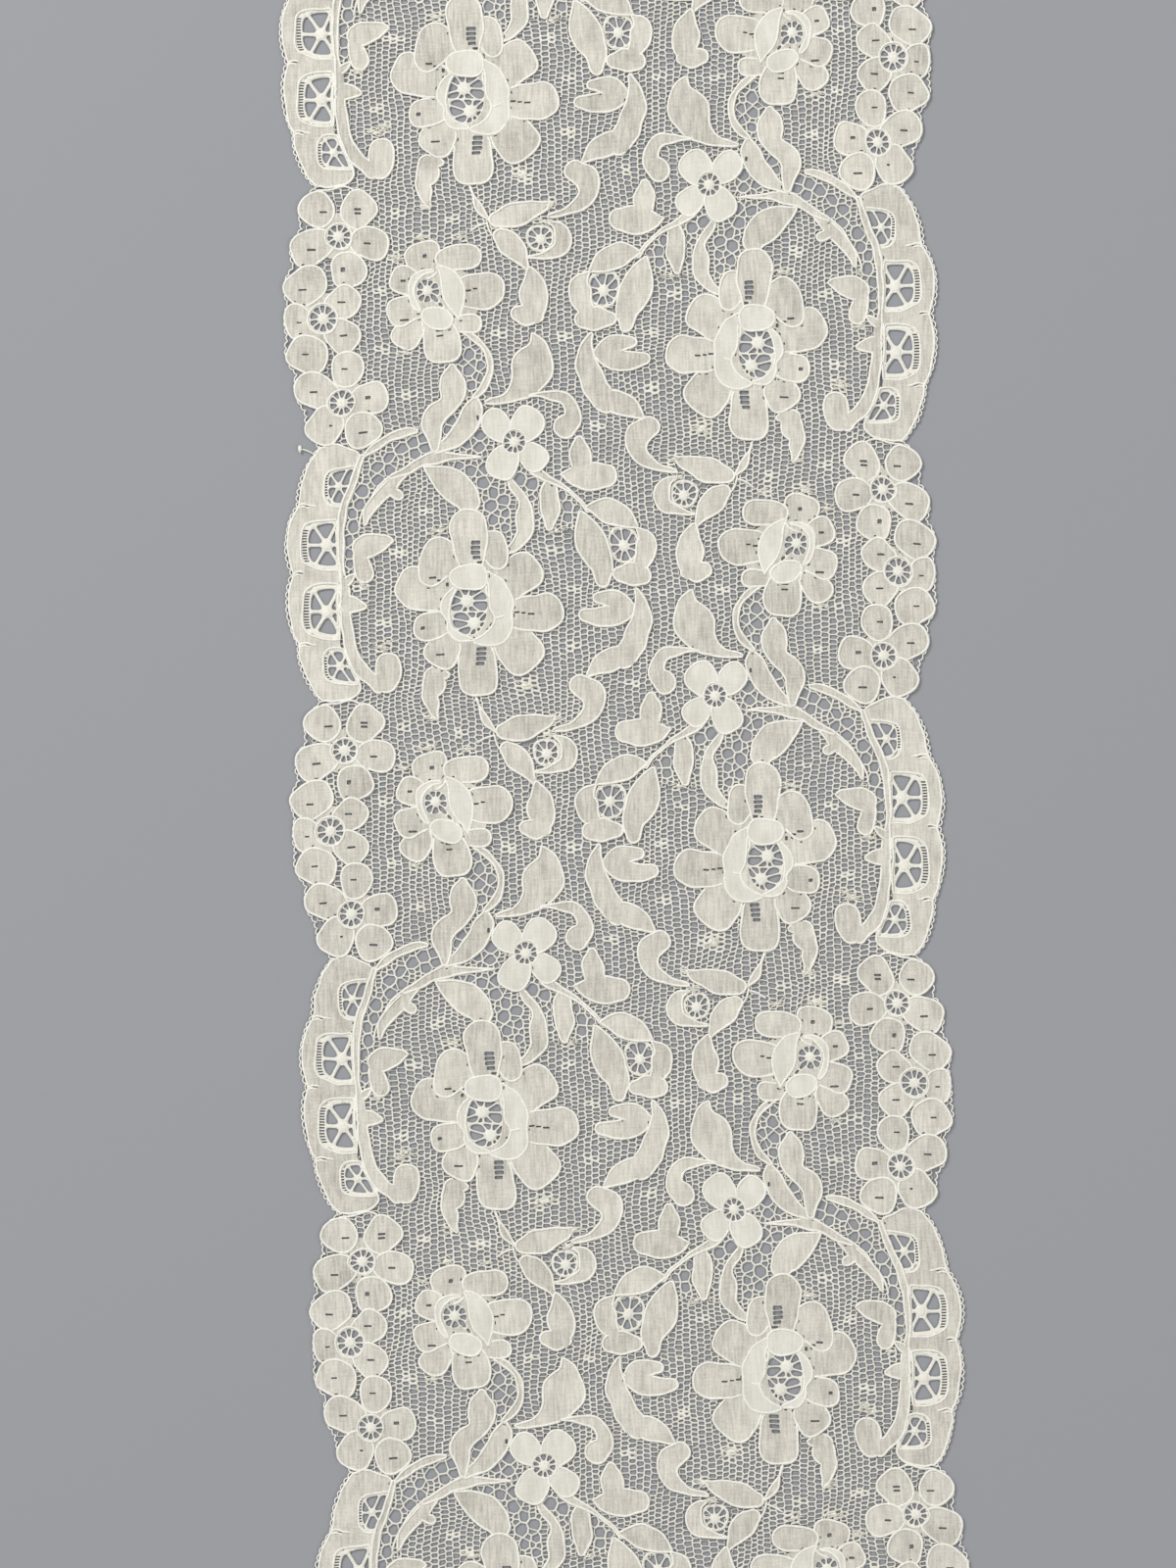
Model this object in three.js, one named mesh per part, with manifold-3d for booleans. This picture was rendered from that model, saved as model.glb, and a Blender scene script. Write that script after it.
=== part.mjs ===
// Alencon lace galloon: a cut length of openwork trim with a scalloped edge down both sides,
// lying flat. One closed solid holds the whole web, with its scallops and its largest gaps,
// the four D-shaped windows in every leaf scallop. Millimetres, +Z up, +Y along the trim.
//
// The pattern repeats by a glide: each side is the mirror image of the other, half a repeat on.
// So one side is described once, by "out", the distance from the centre line towards the edge,
// and "along", the distance up the trim from the cusp under a leaf scallop.
import * as THREE from 'three';
import { mergeVertices } from 'three/addons/utils/BufferGeometryUtils.js';
import Module from 'manifold-3d';

// Driving dimensions
const REPEAT = 104;                   // one leaf scallop and one flower scallop
const HALF_REPEAT = REPEAT / 2;
const LENGTH = 336;                   // the cut length, both ends cut between windows on the left
const THICKNESS = 1.0;                // cloth and the cord that outlines it
const PHASE = 14.9;                   // from the middle of the length to the cusp where along is 0
const SKEW = 0.0334;                  // how far the far edge lags for each millimetre out
const OVERLAP = 0.3;                  // how far each half's pattern reaches past the centre line
const SWAY = { shift: 0.6, size: 0.9, span: 330, start: -153 };   // slow drift of the centre line
const MATERIAL = { color: 0xd6d1c4, roughness: 0.85, metalness: 0 };

// The edge, lobe by lobe: each is one arc from the last row's cusp to its own, and it bulges
// by "rise" past the straight line between them. The first row only starts the edge.
const EDGE_LOBES = [
  { along: -52.0, out: 59.2, rise: 0 },
  { along: -44.4, out: 62.2, rise: 0.7 },
  { along: -37.0, out: 64.0, rise: 1.2 },
  { along: -30.0, out: 65.8, rise: 1.1 },
  { along: -23.0, out: 65.7, rise: 0.4 },
  { along: -15.7, out: 64.5, rise: 1.2 },
  { along: -8.2, out: 63.0, rise: 1.2 },
  { along: 0.0, out: 60.0, rise: 1.7 },
  { along: 11.4, out: 64.6, rise: 1.2 },
  { along: 25.9, out: 65.6, rise: 1.5 },
  { along: 40.0, out: 64.2, rise: 2.0 },
  { along: 52.0, out: 59.2, rise: 1.1 },
];
const LOBE_STEPS = 6;                 // straight steps in one lobe's arc

// The windows of a leaf scallop: each has a straight inner side, from "low" to "high", and a
// rounded side that reaches "outer".
const WINDOWS = [
  { name: 'lower_small', low: { out: 52.5, along: 3.8 }, high: { out: 55.4, along: 10.7 }, outer: 59.3 },
  { name: 'lower_large', low: { out: 55.9, along: 12.9 }, high: { out: 56.0, along: 23.7 }, outer: 63.2 },
  { name: 'upper_large', low: { out: 55.5, along: 26.8 }, high: { out: 55.6, along: 37.0 }, outer: 63.4 },
  { name: 'upper_small', low: { out: 54.4, along: 39.8 }, high: { out: 51.4, along: 47.5 }, outer: 58.2 },
];
const WINDOW_STEPS = 14;              // straight steps in a window's rounded side
const WINDOW_SQUARENESS = 3;          // 2 is a half ellipse, and more is nearer to a box
const CUT_MARGIN = 10;                // how far the cutting bodies run past what they cut

// Where a point of the pattern lies on the trim. Side -1 is the left half and +1 the right.
function place(side, out, along) {
  const y = along + PHASE + (side > 0 ? HALF_REPEAT - SKEW * out : 0);
  const sway = SWAY.shift + SWAY.size * Math.cos((2 * Math.PI * (y - SWAY.start)) / SWAY.span);
  return new THREE.Vector2(side * (out - OVERLAP) + sway, y);
}

// The whole number of repeats that carries the pattern past both ends of the cut length.
const REPEAT_SHIFTS = [-2, -1, 0, 1, 2].map((count) => count * REPEAT);

// Points of one arc lobe, without its first point.
function lobePoints(from, to) {
  const chord = new THREE.Vector2(to.out - from.out, to.along - from.along);
  const outward = new THREE.Vector2(chord.y, -chord.x).normalize();
  const half = chord.length() / 2;
  const radius = (half * half + to.rise * to.rise) / (2 * to.rise);
  const sweep = Math.asin(half / radius);
  const points = [];
  for (let step = 1; step <= LOBE_STEPS; step += 1) {
    const angle = sweep * ((2 * step) / LOBE_STEPS - 1);
    const along = 0.5 + (radius * Math.sin(angle)) / (2 * half);
    const rise = radius * Math.cos(angle) - radius + to.rise;
    points.push({
      out: from.out + chord.x * along + outward.x * rise,
      along: from.along + chord.y * along + outward.y * rise,
    });
  }
  return points;
}

// One edge of the trim from below the cut length to above it.
function edgePoints(side) {
  const repeat = EDGE_LOBES.slice(1).flatMap((lobe, index) => lobePoints(EDGE_LOBES[index], lobe));
  return REPEAT_SHIFTS.flatMap((shift) =>
    repeat.map((point) => place(side, point.out, point.along + shift)));
}

function windowPoints(side, { low, high, outer }, shift) {
  const points = [];
  for (let step = 0; step <= WINDOW_STEPS; step += 1) {
    const angle = Math.PI * (step / WINDOW_STEPS - 0.5);
    const rise = Math.sign(angle) * Math.abs(Math.sin(angle)) ** (2 / WINDOW_SQUARENESS);
    const reach = Math.abs(Math.cos(angle)) ** (2 / WINDOW_SQUARENESS);
    const inner = THREE.MathUtils.lerp(low.out, high.out, (1 + rise) / 2);
    const along = THREE.MathUtils.lerp(low.along, high.along, (1 + rise) / 2);
    points.push(place(side, inner + (outer - inner) * reach, along + shift));
  }
  return points;
}

// An upright body with the given outline, from "bottom" to "top".
function prism(points, bottom, top) {
  const geometry = new THREE.ExtrudeGeometry(new THREE.Shape(points), {
    depth: top - bottom,
    bevelEnabled: false,
  });
  return geometry.translate(0, 0, bottom);
}

const wasm = await Module();
wasm.setup();

function toSolid(geometry) {
  geometry.deleteAttribute('normal');
  geometry.deleteAttribute('uv');
  const merged = mergeVertices(geometry);
  return new wasm.Manifold(new wasm.Mesh({
    numProp: 3,
    vertProperties: merged.attributes.position.array,
    triVerts: Uint32Array.from(merged.index.array),
  }));
}

function toGeometry(solid) {
  const mesh = solid.getMesh();
  const geometry = new THREE.BufferGeometry();
  geometry.setAttribute('position', new THREE.BufferAttribute(mesh.vertProperties, 3));
  geometry.setIndex(new THREE.BufferAttribute(mesh.triVerts, 1));
  geometry.computeVertexNormals();
  return geometry;
}

// The web: both edges joined into one outline, cut square at the ends, less its windows.
function laceWeb() {
  const outline = [...edgePoints(1), ...edgePoints(-1).reverse()];
  const endBlock = new THREE.BoxGeometry(4 * REPEAT, LENGTH, 4 * THICKNESS);
  let web = toSolid(prism(outline, 0, THICKNESS)).intersect(toSolid(endBlock));
  for (const side of [-1, 1]) {
    for (const shift of REPEAT_SHIFTS) {
      for (const window of WINDOWS) {
        const cutter = prism(windowPoints(side, window, shift), -CUT_MARGIN, THICKNESS + CUT_MARGIN);
        web = web.subtract(toSolid(cutter));
      }
    }
  }
  const geometry = toGeometry(web);
  geometry.computeBoundingBox();
  const { min, max } = geometry.boundingBox;
  return geometry.translate(-(min.x + max.x) / 2, -(min.y + max.y) / 2, 0);
}

const web = new THREE.Mesh(laceWeb(), new THREE.MeshStandardMaterial(MATERIAL));
web.name = 'lace_web';

const group = new THREE.Group();
group.add(web);

export default group;
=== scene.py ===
import math

import bpy
import numpy as np
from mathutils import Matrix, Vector
from mathutils.geometry import delaunay_2d_cdt


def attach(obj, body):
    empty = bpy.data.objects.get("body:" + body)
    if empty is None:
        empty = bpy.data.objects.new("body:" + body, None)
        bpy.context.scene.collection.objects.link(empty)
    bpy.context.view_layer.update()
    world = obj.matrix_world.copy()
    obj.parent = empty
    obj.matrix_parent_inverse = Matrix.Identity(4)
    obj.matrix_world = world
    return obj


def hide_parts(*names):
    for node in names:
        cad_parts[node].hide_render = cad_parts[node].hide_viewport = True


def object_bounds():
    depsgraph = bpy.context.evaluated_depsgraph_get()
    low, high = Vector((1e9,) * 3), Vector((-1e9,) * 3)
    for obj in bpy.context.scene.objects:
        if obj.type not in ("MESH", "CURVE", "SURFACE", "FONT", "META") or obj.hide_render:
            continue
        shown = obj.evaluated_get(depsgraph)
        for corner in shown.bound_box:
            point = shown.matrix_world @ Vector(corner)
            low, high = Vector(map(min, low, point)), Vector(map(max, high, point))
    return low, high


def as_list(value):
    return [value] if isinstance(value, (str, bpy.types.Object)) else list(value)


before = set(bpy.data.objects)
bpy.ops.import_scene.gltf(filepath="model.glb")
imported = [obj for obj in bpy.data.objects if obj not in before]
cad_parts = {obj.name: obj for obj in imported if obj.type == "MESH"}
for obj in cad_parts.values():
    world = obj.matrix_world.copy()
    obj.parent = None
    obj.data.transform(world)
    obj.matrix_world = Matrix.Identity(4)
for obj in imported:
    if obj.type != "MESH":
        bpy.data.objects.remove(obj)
cad_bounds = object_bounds()

# Alencon lace galloon, laid flat and seen from straight above.
#
# The pattern repeats by a glide: each side is the mirror image of the other, half a repeat on. One
# side is described once, in millimetres, by "out", the distance from the centre line towards the
# edge, and "along", the distance up the trim from the cusp under a leaf scallop. Headings are
# degrees from outwards, turning up the trim.

# --- pattern: driving dimensions ---
NET, OPEN, OPENWORK, PLAIN, DENSE = range(5)  # what the cloth is at a place
REPEAT = 104.0
HALF_REPEAT = REPEAT / 2
PHASE = 14.9  # from the middle of the cut length to the cusp where along is 0
SKEW = 0.0334  # how far the far edge lags for each millimetre out
OVERLAP = 0.3  # how far each half's pattern reaches past the centre line
SWAY = (0.6, 0.9, 330.0, -153.0)  # slow drift of the centre line: shift, size, span, start

# The edge, lobe by lobe: each row is the cusp (along, out) where an arc ends, and how far the arc
# from the row before it bulges past the straight line. The first row only starts the edge.
EDGE_LOBES = [
    (-52.0, 59.2, 0.0), (-44.4, 62.2, 0.7), (-37.0, 64.0, 1.2), (-30.0, 65.8, 1.1),
    (-23.0, 65.7, 0.4), (-15.7, 64.5, 1.2), (-8.2, 63.0, 1.2), (0.0, 60.0, 1.7),
    (11.4, 64.6, 1.2), (25.9, 65.6, 1.5), (40.0, 64.2, 2.0), (52.0, 59.2, 1.1),
]

# Windows of a leaf scallop: low and high end of the straight inner side, outer reach, spider.
WINDOWS = [
    # low (out, along)  high (out, along)  outer  spider (out, along, long, wide)
    ((52.5, 3.8), (55.4, 10.7), 59.3, (56.0, 7.3, 1.9, 1.6)),
    ((56.0, 12.9), (56.1, 23.7), 63.2, (58.3, 18.2, 3.2, 2.2)),
    ((55.9, 26.8), (56.0, 37.0), 63.4, (58.2, 31.8, 3.0, 2.4)),
    ((54.4, 39.8), (51.4, 47.5), 58.2, (55.3, 43.7, 1.8, 1.5)),
]
WINDOW_SQUARENESS = 3.6  # 2 rounds the outer side to half an ellipse, and more squares it

# The woven band of a leaf scallop: the rows of EDGE_LOBES that it starts and ends at, then its
# inner side as a run of (out, along).
SCALLOP_ROWS = (7, 11)
SCALLOP_INSIDE = [
    (59.0, 51.9), (56.0, 52.3), (52.6, 51.2), (50.6, 49.4), (52.6, 44.6), (54.9, 39.2), (55.2, 30.0),
    (55.3, 20.0), (55.3, 11.0), (52.6, 5.8), (51.4, 3.0), (52.4, 1.4), (54.6, 0.2), (57.4, -0.1),
    (59.8, 0.3),
]

# A stroke is a leaf, stem, hook or band: its route, with the width there. Rows are
# (out, along, width), from its start to its tip. It starts or ends round where its width is wide.
SCALLOP_STROKES = [
    [(50.4, 49.6, 1.2), (52.1, 44.3, 1.8), (54.4, 39.4, 1.8), (55.2, 34.0, 1.6), (55.2, 28.0, 1.6),
     (54.5, 22.0, 2.3), (54.2, 15.0, 2.7), (53.3, 10.0, 2.8), (51.1, 5.9, 3.2), (48.3, 3.6, 3.6)],
    [(53.7, 19.7, 4.0), (52.5, 19.6, 3.4), (51.3, 19.4, 2.2), (50.3, 19.3, 1.0)],
    [(54.3, 24.3, 2.2), (53.4, 25.0, 2.0), (52.4, 25.7, 0.9)],
]
SCALLOP_BULB = (46.2, 5.9, 8.4, 5.7, 96)

# Flowers: centre, eye radius, then petals (out, along, length, width). A petal's length points
# away from the centre of its flower, and later petals lie over earlier ones.
EDGE_FLOWERS = [
    ((55.4, -9.8), 2.5, [
        (59.7, -4.3, 7.2, 7.2), (51.2, -4.3, 7.6, 7.4), (60.9, -11.9, 8.6, 7.6),
        (48.9, -11.1, 7.8, 6.9), (53.2, -16.5, 7.2, 7.4)]),
    ((58.4, -26.2), 2.8, [
        (61.8, -19.5, 7.2, 8.9), (54.3, -23.0, 7.2, 6.6), (63.3, -26.6, 5.6, 7.2),
        (54.5, -29.8, 7.4, 6.9), (61.6, -33.4, 7.2, 8.9)]),
    ((54.7, -43.3), 2.6, [
        (60.0, -40.7, 9.0, 7.4), (53.7, -36.5, 7.2, 6.8), (49.0, -42.5, 7.2, 7.2),
        (50.3, -49.2, 7.2, 7.6), (58.0, -47.9, 7.6, 7.6)]),
]

# Lobes: (out, along, length, width, heading).
LARGE_FLOWER = [
    (19.2, 9.3, 9.4, 9.0, 236), (19.5, 24.8, 10.2, 8.6, 146), (15.5, 17.1, 10.2, 8.1, 180),
    (27.6, 5.3, 10.3, 8.5, 266), (34.9, 9.4, 6.2, 7.4, -57), (36.8, 15.0, 7.6, 5.9, -12),
    (39.0, 22.6, 10.4, 8.8, 20), (35.1, 28.8, 8.6, 7.8, 118), (24.6, 31.0, 7.4, 5.8, 70),
    (29.2, 33.4, 11.2, 7.7, 88),
]
LARGE_COLLAR = [
    [(25.9, 25.7, 0.8), (23.9, 22.7, 4.2), (23.0, 19.5, 5.2), (22.4, 16.3, 4.2), (23.2, 13.2, 4.4),
     (25.6, 11.7, 3.0), (28.0, 11.6, 1.4)],
    [(28.6, 11.9, 1.0), (31.2, 12.3, 2.0), (33.0, 14.2, 1.8), (33.3, 16.0, 1.1), (34.1, 18.2, 2.2),
     (33.5, 20.6, 1.8), (31.9, 22.9, 1.0)],
]
LARGE_EYE = (29.3, 17.9, 10.2, 7.6, 90)

MEDIUM_FLOWER = [
    (38.1, -13.9, 6.6, 7.6, 77), (42.2, -18.4, 6.0, 6.0, 24), (41.5, -29.7, 6.4, 6.2, -60),
    (42.1, -24.8, 7.2, 6.2, -20), (30.0, -14.6, 8.0, 5.9, 180), (25.8, -21.5, 9.2, 7.8, 180),
    (28.5, -28.1, 5.6, 4.4, 180), (34.4, -31.8, 8.4, 8.2, 262),
]
MEDIUM_COLLAR = [
    [(35.1, -15.9, 0.8), (33.1, -18.0, 3.6), (31.8, -21.0, 4.7), (31.2, -24.3, 3.6), (30.7, -27.8, 0.6)],
    [(35.8, -16.8, 0.8), (38.2, -17.1, 1.6), (40.1, -18.8, 1.8), (40.5, -21.2, 1.8), (39.8, -23.5, 1.6),
     (38.7, -25.2, 0.8)],
]
MEDIUM_EYE = (37.1, -20.9, 4.9, 4.8, 0)
MEDIUM_EYE_TAIL = [(35.8, -22.4, 1.8), (34.6, -23.8, 1.4), (33.4, -25.0, 0.7)]

# Wheels in those eyes: the large one has two, (middle, low and high end of its share of the eye).
LARGE_EYE_WHEELS = (((29.7, 19.9), 17.7, 99), ((28.2, 15.3), 0, 17.7))
MEDIUM_EYE_WHEEL = (37.2, -20.8)
MEDIUM_EYE_HOLES = [(35.5, -22.8, 1.2, 0.8, 45), (34.5, -23.9, 1.1, 0.6, 45)]  # in its tail

# The lobe at the heart of each, worked closer and whiter as the collars are.
FLOWER_HEARTS = [(29.4, 24.9, 8.0, 5.6, 180), (35.3, -26.5, 7.0, 4.8, 201)]

SMALL_FLOWER = ((20.0, 52.0), 2.4, [
    (16.0, 48.7, 6.8, 5.6), (23.5, 55.4, 7.2, 6.0), (17.3, 55.5, 7.4, 6.8), (22.3, 47.8, 7.2, 6.8)])

# Leaves between the flowers. Each is one or more strokes, whose cord follows them all as one.
LEAVES = [
    # beside the leaf scallop
    [[(40.6, 46.8, 0.9), (43.2, 45.0, 2.6), (45.4, 42.9, 3.5), (47.6, 40.6, 3.0), (49.6, 37.6, 2.1),
      (50.2, 35.6, 0.8)],
     [(45.0, 42.4, 2.0), (43.2, 41.4, 2.4)]],
    [[(51.4, 31.4, 3.4), (51.4, 29.4, 3.2), (50.9, 27.3, 3.8), (50.5, 25.8, 3.8)],
     [(51.2, 31.2, 4.4), (50.0, 31.4, 5.2), (47.6, 31.9, 4.2), (45.8, 32.3, 2.6), (44.6, 32.3, 0.9)]],
    # branches above it
    [[(37.8, 46.9, 1.4), (36.2, 46.0, 3.6), (34.2, 44.9, 5.4), (31.8, 43.3, 6.6), (30.0, 41.5, 6.4),
      (29.2, 40.2, 4.8)]],
    [[(44.6, 45.0, 1.0), (42.0, 46.2, 1.8), (39.5, 47.6, 2.2), (36.6, 48.9, 2.8), (32.5, 49.3, 1.9),
      (26.3, 49.2, 0.5)]],
    [[(50.3, 49.4, 0.8), (48.2, 51.0, 1.5), (45.0, 53.0, 2.0), (42.0, 54.1, 1.8), (39.6, 54.4, 1.0)]],
    [[(27.9, -43.2, 1.8), (28.4, -45.6, 4.4), (29.8, -48.4, 5.0), (32.0, -51.0, 4.0), (34.2, -52.6, 2.7),
      (36.0, -53.6, 1.4)]],
    [[(32.4, -36.8, 2.0), (32.7, -38.8, 4.8), (32.5, -41.4, 5.9), (33.4, -44.0, 4.4), (35.7, -45.9, 4.4),
      (36.8, -48.0, 4.3), (36.4, -50.6, 3.2), (36.2, -53.2, 2.0)]],
    # curved stem under the small flower, and the leaf beside it
    [[(22.4, 46.6, 1.3), (20.3, 43.2, 1.9), (18.1, 39.8, 2.5), (18.0, 36.2, 4.1), (18.1, 33.4, 3.3),
      (19.9, 31.0, 2.3), (22.4, 29.6, 0.9)]],
    [[(13.0, 44.6, 1.0), (12.8, 41.8, 4.0), (12.6, 37.8, 4.4), (12.9, 34.4, 2.0)]],
    [[(17.0, 46.8, 2.2), (14.8, 45.2, 1.9), (12.4, 43.9, 1.5), (10.0, 42.5, 1.4), (7.8, 40.6, 1.4),
      (6.0, 38.9, 1.3), (4.8, 37.0, 0.8)]],
    # stem round the medium flower's openwork
    [[(30.6, -29.4, 0.6), (27.4, -31.2, 1.5), (25.1, -34.2, 1.5), (24.6, -37.4, 1.5), (25.8, -40.6, 1.4),
      (28.2, -42.9, 0.8)]],
    # hanging leaf under the large flower, and the stem beside it
    [[(36.9, 4.9, 3.8), (36.8, 2.7, 5.3), (37.6, 0.9, 3.7), (37.3, -0.9, 3.5), (37.1, -2.6, 2.1),
      (36.4, -4.1, 0.8)],
     [(37.0, 4.5, 3.2), (35.4, 5.1, 3.0), (33.7, 4.9, 1.2)]],
    [[(28.3, 0.3, 0.8), (27.4, -2.3, 1.4), (26.4, -4.6, 1.8), (24.3, -7.2, 0.9)]],
    # centre band
    [[(6.5, 51.8, 2.4), (6.4, 49.4, 4.8), (6.2, 46.4, 4.4)],
     [(10.6, 45.2, 0.5), (7.8, 44.6, 4.6), (4.0, 44.4, 6.2), (1.2, 44.4, 5.0)]],
    [[(4.9, 37.9, 1.6), (1.8, 37.6, 5.4), (-1.8, 36.3, 5.0), (-5.4, 34.0, 0.8)]],
    [[(6.5, 37.1, 0.9), (5.4, 33.6, 5.6), (4.0, 29.6, 7.0), (2.4, 26.2, 5.0), (2.4, 23.2, 3.4)]],
    [[(4.6, -18.0, 1.2), (6.4, -20.0, 4.2), (6.3, -22.6, 4.8), (5.0, -25.4, 3.6)],
     [(0.6, -27.4, 3.6), (3.2, -27.2, 5.2), (5.6, -27.3, 4.0)]],
    [[(6.0, 16.2, 3.0), (3.0, 16.0, 4.4), (0.0, 16.3, 4.4), (-2.4, 17.3, 3.2), (-3.9, 18.2, 0.8)],
     [(3.6, 19.6, 2.6), (1.0, 19.6, 3.8), (-1.7, 19.0, 3.4), (-3.9, 18.2, 0.8)]],
    [[(3.9, -30.4, 1.4), (4.9, -33.6, 3.8), (4.5, -37.4, 4.8), (3.0, -41.2, 5.6), (0.6, -44.4, 5.0)],
     [(1.2, -43.8, 4.6), (-1.6, -44.6, 5.2), (-4.2, -46.2, 4.0), (-6.6, -48.0, 0.8)]],
    [[(12.9, -6.6, 0.7), (9.0, -5.6, 2.2), (6.0, -4.2, 3.2), (4.6, -2.0, 4.0), (4.9, 0.6, 5.2),
      (7.2, 2.4, 4.8)]],
    # leaves round the low wheel
    [[(22.9, -6.9, 3.6), (19.6, -6.1, 5.4), (16.2, -5.3, 4.4), (13.8, -4.6, 2.8), (12.4, -3.7, 1.2)]],
    [[(22.3, -10.4, 3.0), (20.4, -11.9, 5.1), (18.6, -14.0, 4.2), (17.3, -16.2, 2.0), (16.9, -17.4, 0.9)]],
    [[(12.9, -7.6, 0.8), (10.6, -8.6, 2.6), (9.6, -11.2, 3.6), (10.6, -13.4, 3.0), (13.6, -14.5, 1.8),
      (16.8, -14.9, 0.7)]],
    [[(16.4, -17.2, 1.4), (15.6, -20.0, 4.6), (15.6, -22.6, 6.2), (15.2, -25.2, 4.8), (14.8, -27.4, 2.4)],
     [(18.6, -26.2, 3.6), (16.6, -26.6, 4.8), (14.6, -26.8, 2.8)]],
    [[(15.6, -30.2, 0.7), (14.6, -33.0, 5.0), (15.8, -37.0, 8.8), (18.0, -40.9, 6.0), (21.5, -43.2, 2.6),
      (26.0, -44.0, 0.7)]],
    [[(17.0, -42.7, 0.7), (13.0, -42.6, 1.9), (9.8, -43.1, 2.6), (8.0, -45.2, 3.0), (7.8, -47.6, 3.8),
      (9.4, -49.3, 5.2)]],
]

# Openings between leaves, as lobes, then the middle of the wheel in each.
LEAF_WHEELS = [((1.6, -21.4, 6.8, 5.8, 90), (1.7, -21.6)), ((14.3, -11.0, 4.9, 5.0, 90), (14.2, -11.2))]
LEAF_WHEEL_TAIL = [(14.4, -9.4, 2.0), (16.6, -9.0, 1.8), (18.6, -9.0, 1.2), (19.8, -9.2, 0.6)]

# Cloth without a cord that joins the petals of each flower, as lobes.
FLOWER_BASES = [
    (55.4, -9.8, 9.4, 9.4, 0), (58.4, -26.2, 9.4, 10.0, 0), (54.7, -43.3, 9.6, 9.6, 0),
    (28.0, 17.6, 22.0, 20.0, 90), (34.6, -23.2, 14.0, 15.5, 90), (20.0, 52.0, 7.0, 7.0, 0),
]

CORD = 0.25  # radius of the raised cord round every motif
WINDOW_CORD = CORD * 0.85
LOOSE_CORD = CORD * 0.85
WHEEL_CORD = CORD * 0.75
SMALL_WHEEL_CORD = CORD * 0.6  # round the small flower's eye
WOBBLE = 0.17  # how unevenly motifs are worked
INSET = 0.28  # how far the middle of the cord lies inside a motif's outline
COVERED = 0.25  # how far a motif hides the cords of those under it
OPEN_COVERED = 0.1  # and how far an opening does
MERGED = 0.12  # how far inside another outline of its motif a cord is left out
ENDS_CLEAR = 0.3  # how far cords and picots stop from the cut ends
SEAM_OFFSET = 0.46  # from the middle of a cord to the stitch holes beside it
SEAM_CLEARANCE = (0.5, -0.3)  # how far out and in from a stitch hole the cloth goes on
STITCH_STEPS = (2, 3, 3, 4)  # points of an outline from one place for a stitch to the next
STITCHES_SKIPPED = 0.68  # share of those places without a stitch
DASH = [(-1, 0), (-0.6, -1), (0.6, -1), (1, 0), (0.6, 1), (-0.6, 1)]

# Slits worked in the motifs: (out, along, width, height), and their corners as shares of half those.
SLIT_CORNERS = np.array([
    (1, 0.5), (0.8, 1), (-0.8, 1), (-1, 0.5), (-1, -0.5), (-0.8, -1), (0.8, -1), (1, -0.5)])
SLITS = [
    # at the cusps of a leaf scallop
    (62.0, 39.95, 1.5, 0.24), (63.7, 26.05, 1.1, 0.24), (62.3, 11.5, 1.4, 0.24),
    # edge flowers
    (58.6, -4.9, 1.6, 0.4), (51.5, -4.2, 1.5, 0.5), (51.5, -5.0, 1.4, 0.5), (49.6, -11.1, 1.4, 0.45),
    (54.5, -16.4, 0.9, 0.9), (60.9, -12.4, 1.7, 0.45), (62.4, -20.4, 1.6, 0.4), (54.7, -22.9, 1.6, 0.4),
    (63.2, -26.9, 1.0, 0.35), (54.4, -29.7, 1.6, 0.4), (62.0, -33.2, 1.3, 0.35), (60.4, -40.8, 1.6, 0.4),
    (54.2, -36.4, 1.3, 0.35), (49.5, -42.5, 1.1, 0.7), (50.3, -49.6, 1.8, 0.45), (56.8, -47.8, 0.6, 0.4),
    # large flower, then its two ladders
    (36.6, 24.8, 1.5, 0.45), (35.0, 24.2, 1.4, 0.4), (33.7, 23.4, 0.6, 0.8), (38.6, 14.7, 0.9, 0.7),
    (35.1, 9.1, 1.9, 0.4), (19.8, 17.3, 1.1, 0.4), (18.5, 17.1, 0.9, 0.35), (17.0, 16.9, 1.3, 0.4),
    (28.0, 31.9, 1.9, 0.85), (28.0, 30.9, 2.0, 0.8), (28.0, 29.9, 1.9, 0.85), (27.8, 28.9, 1.6, 0.75),
    (27.0, 27.9, 1.5, 0.5),
    (26.7, 9.9, 2.0, 0.85), (26.8, 8.9, 2.1, 0.8), (26.8, 7.9, 2.0, 0.85), (27.0, 6.9, 1.7, 0.75),
    # medium flower
    (42.0, -26.7, 1.8, 0.45), (28.9, -21.4, 1.2, 0.4), (27.5, -21.1, 0.9, 0.35), (34.8, -29.2, 1.5, 0.4),
    (34.8, -30.3, 1.4, 0.4), (37.8, -13.8, 0.9, 0.8), (42.3, -18.6, 1.1, 0.5), (27.5, -46.9, 0.5, 0.9),
]

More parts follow.
